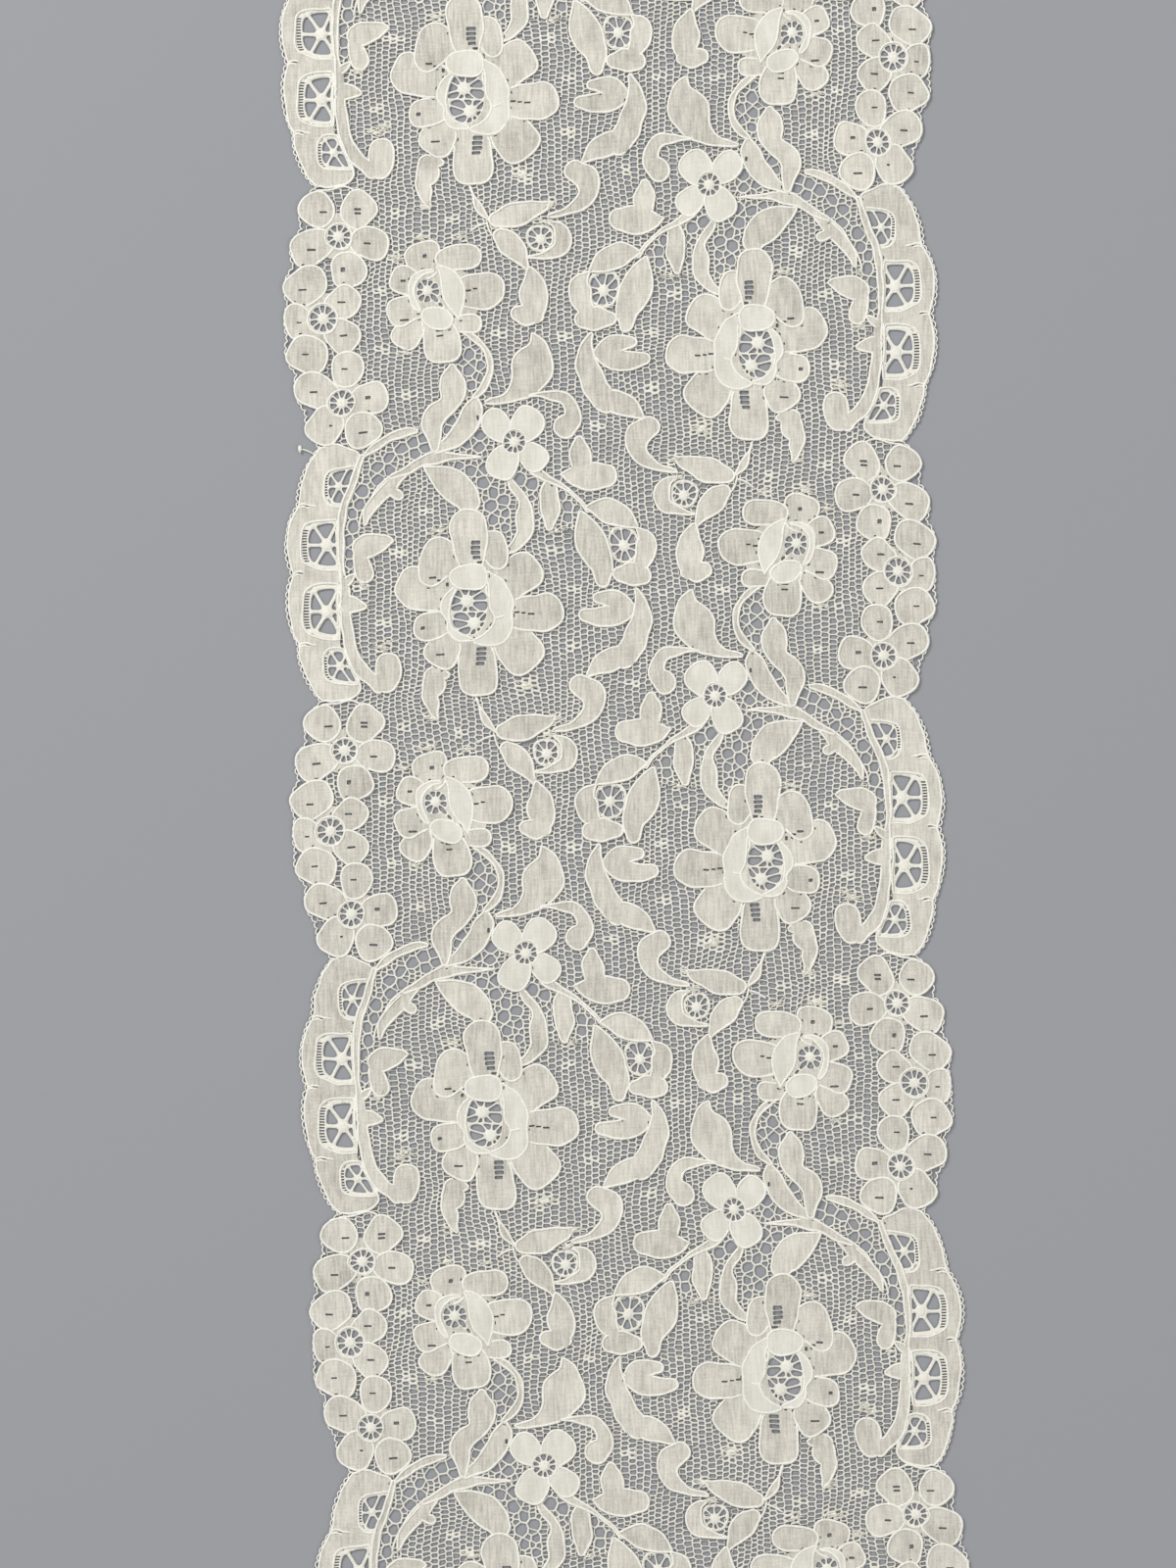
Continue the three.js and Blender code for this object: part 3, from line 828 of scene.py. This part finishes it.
def slab(soup, points, triangles, top, tone=0):
    """A closed sheet over flat triangles, up to the height given for every point."""
    used, triangles = np.unique(triangles, return_inverse=True)
    triangles = triangles.reshape(-1, 3)
    count = len(used)
    flat = points[used]
    shell = np.vstack([beside(flat, top[used]), beside(flat, np.full(count, CLOTH_UNDERSIDE))])
    edges = np.vstack([triangles[:, [0, 1]], triangles[:, [1, 2]], triangles[:, [2, 0]]])
    sides = walls(edges, count)
    tone = np.broadcast_to(tone, len(triangles))
    soup.add(shell, np.vstack([triangles, triangles[:, ::-1] + count, sides]),
             np.concatenate([tone, tone, np.zeros(len(sides), int)]))


def loose_points(pitch, chart, margin, seed):
    """Points in rows that stand so far inside the part of the chart that is set."""
    random = np.random.default_rng(seed)
    x, y = np.meshgrid(np.arange(LOW[0], -LOW[0], pitch),
                       np.arange(LOW[1], -LOW[1], pitch * ROW_SPACING))
    x[1::2] += pitch / 2
    points = beside(x.ravel(), y.ravel()) + random.uniform(-0.18, 0.18, (x.size, 2)) * pitch
    return points[read(blurred(chart, margin), points) > WHOLLY]


def in_large_parts(triangles, fewest):
    """Which triangles are part of a sheet of at least so many."""
    part = np.arange(triangles.max() + 1)
    while True:
        joined = part.copy()
        lowest = part[triangles].min(axis=1)
        for corner in range(3):
            np.minimum.at(joined, triangles[:, corner], lowest)
        if (joined == part).all():
            break
        part = joined[joined]
    owner = part[triangles[:, 0]]
    return np.bincount(owner)[owner] >= fewest


# --- woven motifs ---
CRUMB = 8  # smallest scrap of cloth that is kept, in triangles
CLOTH_TOP = 0.41
CLOSE_WEAVE_RISE = 0.06
CLOTH_PITCH = 1.7  # of the loose points that the cloth bends at
# Places round a point where the cloth is looked up.
COMPASS = 0.42 * np.array([(math.cos(a), math.sin(a)) for a in np.arange(8) * math.pi / 4])


def on_border(line):
    """Which points of a line have more than one kind of cloth round them."""
    around = np.array([read(kind, line + offset) for offset in COMPASS])
    return (around != read(kind, line)).any(axis=0) & on_trim(line)


ends = [beside(np.linspace(LOW[0], -LOW[0], 200), np.full(200, y)) for y in (-HALF_LENGTH, HALF_LENGTH)]
lines = [(spot, on_border(spot)) for _, spot, _, _, _ in outlines]
lines += [(spot, on_trim(spot)) for spot in slits]
lines += [(line, np.arange(len(line)) < len(line) - 1) for line in ends]
points, triangles = triangulate(lines, loose_points(CLOTH_PITCH, (kind >= PLAIN) & (strip > 0), 0.5, 5))
middle = points[triangles].mean(axis=1)
cloth_below = np.where(on_trim(middle), read(kind, middle), OPEN)
shade = read(cover, middle) % SHADES
body = read(blurred(kind >= PLAIN, 0.6), points)
top = CLOTH_TOP + 0.06 * body + 0.025 * ripple(points, 4.0, 11) + 0.015 * ripple(points, 1.6, 12)


def weave(soup, cloth, rise, tones):
    """Adds the sheet of one kind of cloth, without its crumbs; gives its triangles' corners."""
    chosen = np.flatnonzero(cloth_below == cloth)
    chosen = chosen[in_large_parts(triangles[chosen], CRUMB)]
    slab(soup, points, triangles[chosen], top + rise, tones[chosen])
    return points[triangles[chosen]]


toile = Soup()
collars = Soup()
corners = weave(toile, PLAIN, 0, shade)
weave(collars, DENSE, CLOSE_WEAVE_RISE, 0 * shade)


# --- cords and picots ---
CORD_HEIGHT = 0.45
CORD_POINTS = 5  # fewest points of a length of cord
PICOT_INSET = 0.45
PICOT_PITCH = 1.45
PICOT_POINTS = 8  # for each loop
PICOT_PROUD = 0.45
PICOT_THREAD = 0.17
PICOT_HEIGHT = 0.28


def runs(keep):
    """Runs of neighbouring kept points round a loop: (indices, whether it is the whole loop)."""
    count = len(keep)
    if keep.all():
        return [(np.arange(count), True)]
    found = []
    for first in np.flatnonzero(keep & ~np.roll(keep, 1)):
        length = int(np.argmin(np.roll(keep, -first)))
        found.append((np.arange(first - 1, first + length + 1) % count, False))
    return [run for run in found if len(run[0]) >= CORD_POINTS]


def lay_cord(soup, line, radius, closed=False, height=CORD_HEIGHT):
    """A slightly uneven cord on the cloth, sinking in at its ends."""
    radius = radius * (1.04 + 0.2 * ripple(line, 0.8, 31))
    height = height + 0.03 * ripple(line, 2.5, 32)
    if not closed:
        radius[[0, -1]] *= 0.6
        height[[0, -1]] -= 0.16
    tube(soup, beside(line, height), radius, 5, closed, flat=0.75)


cords = {-1: Soup(), 1: Soup()}
for (side, spot, _, cord, _), shown in zip(outlines, showing):
    if not cord:
        continue
    for run, closed in runs(shown):
        lay_cord(cords[side], spot[run], cord, closed)
for rows in LOOSE_CORDS:
    for _, side, spot in copies(spline(rows)):
        if on_trim(spot).all():
            lay_cord(cords[side], spot, LOOSE_CORD, height=CORD_HEIGHT + 0.06)

picots = Soup()
for _, side, spot in copies(edge_run(inset=PICOT_INSET)):
    spot = spot[on_trim(spot, ENDS_CLEAR)]
    reach = reaches(spot)
    where = np.linspace(0, reach[-1], int(reach[-1] / PICOT_PITCH * PICOT_POINTS))
    spot = points_at(spot, reach, where)
    course = np.gradient(spot, axis=0)
    outwards = beside(course[:, 1], -course[:, 0]) / lengths(course)[:, None]
    outwards *= np.sign(np.sum(outwards[:, 0])) * side
    pace = where / PICOT_PITCH + 0.25 * np.sin(where / 5.3)
    proud = PICOT_PROUD * (1 + 0.3 * np.sin(where / 3.1)) * np.abs(np.sin(math.pi * pace)) ** 0.7
    line = spot + outwards * proud[:, None]
    tube(picots, beside(line, PICOT_HEIGHT + 0.04 * ripple(line, 2, 33)), PICOT_THREAD, 4)


# --- net ground ---
NET_COLUMN = 1.44
NET_ROW = 1.03
NODE_SHARE = 0.57  # of a column, from the middle of a cell to its left and right corners
NET_TOP = 0.35
NET_UNDERSIDE = 0.06
HOLE_HEIGHT = 0.23  # of the rim of a hole, between the ridges above and below
NET_MARGIN = 1.2  # from the edge of the trim to the middle of the nearest cell
NET_THREAD = 0.15  # half a thread's width
PAD_THREADS = ((1, (0.3, 0.46)), (2, (0.2, 0.42)))  # that in woven dots (1) and patches (2), from and to
# How far in from each corner of its hexagon a hole begins, as so many times half the thread's width.
HOLE_POINTS = np.array([1.1, 1.36, 1.36, 1.1, 1.36, 1.36])


def middles(corners, owner, sizes):
    """The middle of each cell, from the corners of all in order, their cells and how many each has."""
    return beside(*(np.bincount(owner, corners[:, axis]) for axis in (0, 1))) / sizes[:, None]


def meshwork(soup, flat, sizes, corner, inwards):
    """Cells of thread, with ridges above and below along their sides and a hole in each. The cells
    have so many corners each, corner says which of the flat points they are, and inwards how far
    from each of them the hole begins."""
    used, corner = np.unique(corner, return_inverse=True)
    flat = flat[used]
    count = len(flat)
    owner = np.repeat(np.arange(len(sizes)), sizes)
    step = np.arange(len(corner))
    is_last = step == (np.cumsum(sizes) - 1)[owner]
    after = np.where(is_last, step - sizes[owner] + 1, step + 1)
    middle = middles(flat[corner], owner, sizes)
    gap = middle[owner] - flat[corner]
    reach = lengths(gap) + TINY
    holes = flat[corner] + gap * (np.minimum(inwards, reach * 0.93) / reach)[:, None]
    points = np.vstack([beside(flat, NET_TOP + 0.03 * ripple(flat, 5, 45)),
                        beside(flat, np.full(count, NET_UNDERSIDE)),
                        beside(holes, np.full(len(holes), HOLE_HEIGHT))])
    hole, hole_after = 2 * count + step, 2 * count + after
    upper_side = np.vstack([beside(corner, corner[after], hole_after), beside(corner, hole_after, hole)])
    lower_side = upper_side[:, ::-1].copy()
    lower_side[lower_side < count] += count
    triangles = np.vstack([upper_side, lower_side, walls(beside(corner, corner[after]), count)])
    first, second = flat[corner] - middle[owner], flat[corner[after]] - middle[owner]
    if np.sum(first[:, 0] * second[:, 1] - first[:, 1] * second[:, 0]) < 0:
        triangles = triangles[:, ::-1]
    soup.add(points, triangles)


def drawn(x, y):
    """Points of the net's regular pattern where the pull of the embroidery draws them."""
    flat = beside(x.ravel(), y.ravel())
    return flat + beside(0.85 * ripple(flat, 13, 41) + 0.2 * ripple(flat, 4, 43),
                         0.55 * ripple(flat, 11, 42) + 0.15 * ripple(flat, 4, 44))


def node(column, row, left):
    """The number of the node to the right or left of a cell's middle."""
    return np.clip(column, 0, count[0] - 1) * count[1] + np.clip(row, 0, count[1] - 1) + left * column.size


def net_piece(name, chosen):
    """The net over the chosen cells, as a piece."""
    soup = Soup()
    inwards = thread[chosen, None] * HOLE_POINTS
    meshwork(soup, nodes, np.full(chosen.sum(), 6), corners[chosen].ravel(), inwards.ravel())
    return soup.piece(name, net_thread)


random = np.random.default_rng(3)
count = (int(-2 * LOW[0] / NET_COLUMN), int(-2 * LOW[1] / NET_ROW))
column, row = np.meshgrid(np.arange(count[0]), np.arange(count[1]), indexing="ij")
x = LOW[0] + column * NET_COLUMN
y = LOW[1] + (row + 0.5 * (column % 2)) * NET_ROW
centres = drawn(x, y)
nodes = np.vstack([drawn(x + NET_COLUMN * NODE_SHARE, y), drawn(x - NET_COLUMN * NODE_SHARE, y)])
nodes += np.clip(random.normal(0, 0.085, nodes.shape), -0.18, 0.18)
upper = row + column % 2
corners = [node(column, row, 0), node(column + 1, upper, 1), node(column - 1, upper, 0),
           node(column, row, 1), node(column - 1, upper - 1, 0), node(column + 1, upper - 1, 1)]
corners = np.stack(corners, -1).reshape(-1, 6)
inner = (column > 0) & (column < count[0] - 1) & (row > 1) & (row < count[1] - 2)
# The ground runs on a little way under the cloth beside it, though not where that has an opening.
here = read(kind, centres)
near = read(cloth_close_by, centres)
ground = (near > 0.02) & (near < 0.55) & (here != OPENWORK)
ground &= read(blurred(kind == OPEN, 0.9), centres) < 0.01
ground |= here == NET
ground &= inner.ravel() & on_trim(centres, 0.9) & (read(blurred(strip, NET_MARGIN), centres) > WHOLLY)
pads = new_chart()
for value, table in ((1, DOTS), (2, PATCHES)):
    for out, along, width, height in table:
        for spot in spots(lobe(out, along, width + 0.8, height + 0.6, 0, taper=0)):
            paint(pads, spot, value)
pad = read(pads, centres)
thread = NET_THREAD * random.uniform(0.75, 1.3, len(centres))
for value, thickness in PAD_THREADS:
    thread = np.where(pad == value, random.uniform(*thickness, len(centres)), thread)


# --- openwork between the stems ---
WEB_COLUMN = 1.15
WEB_ROW = 0.86
SMALL_HOLE = 0.42  # reach of a small hole's area, against the others'
LARGE_HOLE = 0.345  # and of a large one's, for each millimetre of its width and height
HOLE_SPACING = 0.36  # how far beyond that the middle of the nearest small hole is
HOLE_INWARDS = (0.25, 0.235)  # from the corners of its area to a large hole, and a small one
AREA_LIMIT = 12  # square of how far off another hole can still bound an area


def nearest_area(spots, sizes, index):
    """Corners of the area that is nearer to one spot than to the others, after their sizes."""
    area = spots[index] + 3.0 * np.array([(-1, -1), (1, -1), (1, 1), (-1, 1)])
    gaps = spots - spots[index]
    squares = np.sum(gaps ** 2, axis=1)
    for other in np.flatnonzero((squares < AREA_LIMIT) & (squares > 0)):
        limit = (squares[other] + sizes[index] ** 2 - sizes[other] ** 2) / 2
        depth = (area - spots[index]) @ gaps[other] - limit
        further = np.roll(depth, -1)
        crossing = (depth > 0) != (further > 0)
        share = depth / np.where(crossing, depth - further, 1)
        cut = area + (np.roll(area, -1, axis=0) - area) * share[:, None]
        area = np.hstack([area, cut]).reshape(-1, 2)[beside(depth <= 0, crossing).ravel()]
    return area


web = Soup()
open_by = blurred(kind == OPENWORK, 0.6)
for region, table in OPENWORKS:
    outline = evenly(region)
    table = np.array(table)
    low, high = outline.min(axis=0) - 1.5, outline.max(axis=0) + 1.5
    x, y = np.meshgrid(np.arange(low[0], high[0], WEB_COLUMN), np.arange(low[1], high[1], WEB_ROW))
    y[:, 1::2] += WEB_ROW / 2
    small = beside(x.ravel(), y.ravel())
    small += random.uniform(-0.13, 0.13, small.shape)
    large_sizes = LARGE_HOLE * (table[:, 2] + table[:, 3])
    gaps = np.hypot(*(small[:, None] - table[None, :, :2]).transpose(2, 0, 1))
    small = small[(gaps > large_sizes + HOLE_SPACING).all(axis=1)]
    seeds = np.vstack([table[:, :2], small])
    sizes = np.concatenate([large_sizes, np.full(len(small), SMALL_HOLE)])
    used = np.flatnonzero(inside(seeds, grown(outline, 0.7)))
    areas = [nearest_area(seeds, sizes, index) for index in used]
    corner_counts = np.array([len(area) for area in areas])
    flat, corner = np.unique(np.round(np.vstack(areas), 4), axis=0, return_inverse=True)
    corner = corner.ravel()
    owner = np.repeat(np.arange(len(areas)), corner_counts)
    inwards = np.repeat(np.where(used < len(table), *HOLE_INWARDS), corner_counts)
    for spot in spots(flat):
        middle = middles(spot[corner], owner, corner_counts)
        here = read(kind, middle)
        near = read(cloth_close_by, middle)
        chosen = (near > 0.02) & (near < 0.6) & (read(open_by, middle) > 0.05) & (here != OPEN)
        chosen |= here == OPENWORK
        chosen &= on_trim(middle, 1)
        if chosen.any():
            meshwork(web, spot, corner_counts[chosen], corner[chosen[owner]], inwards[chosen[owner]])


# --- fillings of the windows and wheels ---
# For each millimetre of a window's spider: the width of the band of rungs inside the rounded side
# and of the plain bands along the ends, and half the width of the spider's legs.
LADDER = 0.36
MARGIN = 0.15
LEG_WIDTH = 0.11
LADDER_SWEEP = 1.35  # radians of the rounded side each way that the ladder follows
LADDER_RIM = 0.12  # of plain cloth outside its rungs
LADDER_SHARES = (0.27, 0.72)  # where along the side its holes begin and end
LADDER_PITCH = 0.58
LADDER_HOLE = 0.34
CORNER_SHARES = (0.04, 0.13, 0.78, 0.88)  # where the longer holes at the side's ends begin
CORNER_HOLE = 0.9
CORNER_DEPTHS = (0.32, 0.56)  # of the outer and inner side of those
WINDOW_LEGS = np.radians([0, 58, 118, 180, 236, 300])
SOFTENING = 0.27  # passes that round a hole, for each of its points
FILLING_PITCH = 0.8
FILLING_TOP = 0.31
HUB_TOP = 0.44
FILLING_OVERLAP = 0.35  # how far a filling runs on under the cord round it


def far_point(outline, centre, angle):
    """Where a ray from centre leaves the closed outline."""
    ray = np.array([math.cos(angle), math.sin(angle)])
    start = outline - centre
    step = np.roll(outline, -1, axis=0) - outline
    slant = step[:, 0] * ray[1] - step[:, 1] * ray[0]
    slant = np.where(np.abs(slant) < TINY, TINY, slant)
    share = (start[:, 1] * ray[0] - start[:, 0] * ray[1]) / slant
    distance = (start[:, 1] * step[:, 0] - start[:, 0] * step[:, 1]) / slant
    ahead = distance[(share >= 0) & (share <= 1) & (distance > 0)]
    return np.asarray(centre) + ray * (ahead.min() if len(ahead) else 0)


def softened(outline):
    for _ in range(int(SOFTENING * len(outline))):
        outline = (np.roll(outline, 1, axis=0) + 2 * outline + np.roll(outline, -1, axis=0)) / 4
    return outline


def spider(outline, centre, hub, angles, bar, reach=99):
    """The holes between the legs of a spider, which run from its hub to the outline, for so far at
    most. Each hole stays so far, bar, from the middle of the legs beside it."""
    hubs.append((centre, 2 * hub))
    for start, stop in zip(angles, np.append(angles[1:], angles[0] + 2 * math.pi)):
        sweep = np.linspace(start, stop, 9)
        near = np.asarray(centre) + 0.9 * hub * beside(np.cos(sweep), np.sin(sweep))
        far = np.array([far_point(outline, centre, angle) for angle in sweep]) - centre
        far = centre + far * np.minimum(1, reach / lengths(far))[:, None]
        cells.append(softened(grown(evenly(np.vstack([near, far[::-1]]), 0.32), -bar)))


def wheel(outline, centre, hub, legs, bar, reach=99):
    """A spider whose legs are spread a little unevenly."""
    angle = 2 * math.pi * np.arange(legs) / legs + centre[0]
    spider(outline, centre, hub, angle + 0.5 / legs * np.sin(3 * angle + centre[1]), bar, reach)


frames = []  # outlines of the openings that the fillings fill
cells = []  # outlines of the holes in them
hubs = []  # the middle and size of each pad where legs meet
for low, high, outer, (out, along, long, wide) in WINDOWS:
    frames.append(window_outline(low, high, outer))
    angle = np.linspace(-LADDER_SWEEP, LADDER_SWEEP, 60)
    band = outer - LADDER * long
    rim, inner, corner_far, corner_near = (
        window_side(low, high, side, angle)
        for side in (outer - LADDER_RIM, band, *(outer - depth for depth in CORNER_DEPTHS)))
    reach = reaches(rim)
    places = np.arange(*LADDER_SHARES, LADDER_PITCH / reach[-1]) * reach[-1]
    rungs = [(inner, rim, place, place + LADDER_HOLE) for place in places]
    rungs += [(corner_near, corner_far, share * reach[-1], share * reach[-1] + CORNER_HOLE)
              for share in CORNER_SHARES]
    for near, far, start, stop in rungs:
        cells.append(np.vstack([points_at(near, reach, [start, stop]),
                                points_at(far, reach, [stop, start])]))
    margin = MARGIN * long
    within = window_outline(np.add(low, (0, margin)), np.subtract(high, (0, margin)), band)
    spider(within, (out, along), (long + wide) / 4 - 0.33, WINDOW_LEGS, LEG_WIDTH * long)
for centre, radius, _ in EDGE_FLOWERS:
    frames.append(wheel_outline(*centre, radius))
    wheel(frames[-1], centre, hub=0.95, legs=10, bar=0.14)
for opening, centre in LEAF_WHEELS:
    frames.append(lobe(*opening))
    wheel(frames[-1], centre, hub=0.9, legs=9, bar=0.15)
centre, radius, _ = SMALL_FLOWER
frames.append(wheel_outline(*centre, radius))
wheel(frames[-1], centre, hub=0.95, legs=10, bar=0.13)
frames.append(lobe(*LARGE_EYE))
for centre, low, high in LARGE_EYE_WHEELS:
    half = beside(frames[-1][:, 0], np.clip(frames[-1][:, 1], low, high))
    wheel(half, centre, hub=1.15, legs=9, bar=0.15, reach=4.6)
frames.append(lobe(*MEDIUM_EYE))
wheel(frames[-1], MEDIUM_EYE_WHEEL, hub=0.9, legs=9, bar=0.13)
frames.append(stroke(MEDIUM_EYE_TAIL))
cells += [lobe(*row) for row in MEDIUM_EYE_HOLES]

region, gaps = new_chart(), new_chart()
rims = [spot for frame_line in frames for spot in spots(grown(frame_line, FILLING_OVERLAP))]
for rim in rims:
    paint(region, rim, 1)
holes = [spot for cell in cells for spot in spots(cell) if on_trim(spot).all()]
for hole in holes:
    paint(gaps, hole, 1)
lines = [(line, np.ones(len(line), bool))
         for line in holes + [rim[on_trim(rim)] for rim in rims if on_trim(rim).sum() > 3]]
worked = (region > 0) & (gaps == 0)
points, triangles = triangulate(lines, loose_points(FILLING_PITCH, worked, 0.14, 6))
middle = points[triangles].mean(axis=1)
fillings = Soup()
slab(fillings, points, triangles[read(worked, middle) & on_trim(middle)],
     FILLING_TOP + 0.03 * ripple(points, 1.4, 52))
for centre, size in hubs:
    for spot in spots(np.array([centre])):
        if on_trim(spot, 2).all():
            dome(fillings, spot[0], 1.1 * size, size, CLOTH_UNDERSIDE, HUB_TOP)


# --- cut thread ends ---
TUFT_ENDS = 10  # loose ends on each patch
END_THREAD = 0.13
SNIPPED_THREAD = 0.16
SNIPPED_CORD = [(60.0, 50.4), (61.6, 51.4), (63.0, 51.8)]
fibres = Soup()
random = np.random.default_rng(17)
step = np.linspace(0, 1, 5)
for out, along, width, height in PATCHES:
    for spot in spots(np.array([(out, along)])):
        if not on_trim(spot, 3).all():
            continue
        dome(fibres, spot[0], 0.5 * height, 0.5 * width, 0.20, 0.46, turns=8)
        for _ in range(TUFT_ENDS):
            start = spot[0] + random.uniform(-0.3, 0.3, 2) * (width, height)
            heading = random.choice((0, math.pi)) + random.uniform(-0.6, 0.6)
            turn = heading + random.uniform(-0.9, 0.9) * step
            length = random.uniform(0.8, 1.8)
            run = start + np.cumsum(beside(np.cos(turn), np.sin(turn)), axis=0) * length / len(step)
            rise = 0.40 + 0.28 * np.sin(math.pi * step * 0.8) * random.uniform(0.3, 1)
            tube(fibres, beside(run, rise), END_THREAD * (1.15 - 0.6 * step), 4)
snipped = laid(-1, 0, spline(SNIPPED_CORD))
lay_cord(fibres, snipped, SNIPPED_THREAD)
dome(fibres, snipped[-1], 1.6, 0.8, 0.2, 0.7)


# --- materials ---
def set_inputs(node, values):
    for name, value in values.items():
        node.inputs[name].default_value = value


def new_material(name, values):
    """A material whose shader has the inputs given, its node tree and its shader."""
    material = bpy.data.materials.new(name)
    material.use_nodes = True
    shader = material.node_tree.nodes["Principled BSDF"]
    set_inputs(shader, values)
    return material, material.node_tree, shader


def thread_material(name, dark, light, streak, speckle, weft, bump, low=0.38, high=0.60):
    """Cotton thread: two tones mixed by streaks along the trim, fine specks and larger clouds."""
    material, tree, shader = new_material(
        name, {"Roughness": 0.85, "Specular IOR Level": 0.25, "Sheen Weight": 0.15})
    nodes, links = tree.nodes, tree.links
    place_node = nodes.new("ShaderNodeTexCoord")

    def noise(scales, detail):
        mapping = nodes.new("ShaderNodeMapping")
        texture = nodes.new("ShaderNodeTexNoise")
        set_inputs(mapping, {"Scale": scales})
        set_inputs(texture, {"Scale": 1.0, "Detail": detail})
        links.new(place_node.outputs["Object"], mapping.inputs["Vector"])
        links.new(mapping.outputs["Vector"], texture.inputs["Vector"])
        return texture.outputs["Fac"]

    def combine(first, second, share):
        mix = nodes.new("ShaderNodeMix")
        set_inputs(mix, {"Factor": share})
        links.new(first, mix.inputs["A"])
        links.new(second, mix.inputs["B"])
        return mix.outputs["Result"]

    streaks = noise((2100, 230, 2000), 2)
    ribs = noise((300, 3000, 300), 1)
    specks = noise((2600, 2600, 2600), 3)
    clouds = noise((300, 130, 200), 2)
    pattern = combine(combine(streaks, ribs, weft), specks, speckle)
    pattern = combine(clouds, pattern, streak)
    ramp = nodes.new("ShaderNodeValToRGB")
    for element, position, tone in zip(ramp.color_ramp.elements, (low, high), (dark, light)):
        element.position = position
        element.color = (*tone, 1)
    links.new(pattern, ramp.inputs["Fac"])
    links.new(ramp.outputs["Color"], shader.inputs["Base Color"])
    relief = nodes.new("ShaderNodeBump")
    set_inputs(relief, {"Strength": bump, "Distance": 0.00008})
    links.new(combine(streaks, ribs, 0.45), relief.inputs["Height"])
    links.new(relief.outputs["Normal"], shader.inputs["Normal"])
    return material


woven_shades = [thread_material(name, dark, light, streak, 0.3, 0.25, 0.8, 0.37, 0.59)
                for name, dark, light, streak in (
                    ("toile_a", (0.47, 0.443, 0.384), (0.75, 0.713, 0.630), 0.75),
                    ("toile_b", (0.43, 0.405, 0.350), (0.72, 0.685, 0.604), 0.75),
                    ("toile_c", (0.50, 0.473, 0.412), (0.78, 0.742, 0.656), 0.7))]
CORD_TONES = (0.83, 0.808, 0.73), (0.965, 0.945, 0.87)
FINE_TONES = (0.76, 0.735, 0.65), (0.90, 0.875, 0.79)
close_weave = thread_material("toile_close", (0.65, 0.625, 0.548), (0.81, 0.783, 0.702), 0.6, 0.3, 0.3, 0.5)
cord_thread = thread_material("cord_thread", *CORD_TONES, 0.8, 0.8, 0.5, 1.0)
filling_thread = thread_material("filling_thread", *FINE_TONES, 0.8, 0.8, 0.5, 0.8)
net_thread = thread_material("net_thread", *FINE_TONES, 0.7, 0.7, 0.5, 0.4)

# --- pieces ---
pieces = [
    toile.piece("toile", *woven_shades, crease=50),
    collars.piece("toile_close", close_weave, crease=50),
    cords[-1].piece("cordonnet_left", cord_thread),
    cords[1].piece("cordonnet_right", cord_thread),
    picots.piece("picots", cord_thread),
    net_piece("net_left", ground & (centres[:, 0] < 0)),
    net_piece("net_right", ground & (centres[:, 0] >= 0)),
    web.piece("openwork", net_thread),
    fillings.piece("fillings", filling_thread),
    fibres.piece("thread_ends", filling_thread)]
for piece in pieces:
    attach(piece, "root")
    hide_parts("lace_web")
size = np.array(cad_bounds[1]) - np.array(cad_bounds[0])
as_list(pieces[1:])

# --- floor, light and camera ---
FLOOR_HEIGHT = -0.0001  # just under the lace, in metres as what follows is
DISTANCE = 0.9  # of the camera
FRAME_HEIGHT = 0.3182  # how much of the trim the height of the picture takes in
SENSOR = 36
VIEW_CENTRE = (-6.06, -2.92)  # millimetres across and up the trim
VIEW_TURN = -1.35  # degrees
mesh = bpy.data.meshes.new("floor")
corners = [(x, y, FLOOR_HEIGHT) for x, y in ((-3, -3), (3, -3), (3, 3), (-3, 3))]
mesh.from_pydata(corners, [], [(0, 1, 2, 3)])
floor = new_object("floor", mesh)
paper, _, _ = new_material("floor_paper", {"Base Color": (0.32, 0.33, 0.35, 1), "Roughness": 0.9})
mesh.materials.append(paper)

world = bpy.data.worlds.new("studio")
bpy.context.scene.world = world
world.use_nodes = True
set_inputs(world.node_tree.nodes["Background"], {"Color": (1, 1, 1, 1), "Strength": 0.55})


def area_lamp(name, location, size, power):
    data = bpy.data.lights.new(name, "AREA")
    data.shape = "SQUARE"
    data.size = size
    data.energy = power
    lamp = new_object(name, data)
    lamp.location = location
    lamp.rotation_euler = (-Vector(location)).to_track_quat("-Z", "Y").to_euler()


area_lamp("key", (-0.9, 0.9, 1.1), 0.6, 16)
area_lamp("fill", (1.2, -0.6, 1.4), 1.0, 6)

data = bpy.data.cameras.new("camera")
data.sensor_width = SENSOR
data.lens = SENSOR * DISTANCE / FRAME_HEIGHT
camera = new_object("camera", data)
camera.location = ((VIEW_CENTRE[0] + CENTRING) * MM, VIEW_CENTRE[1] * MM, DISTANCE)
camera.rotation_euler = (0, 0, math.radians(VIEW_TURN))
bpy.context.scene.camera = camera
bpy.context.scene.view_settings.view_transform = "Standard"

bpy.context.view_layer.update()
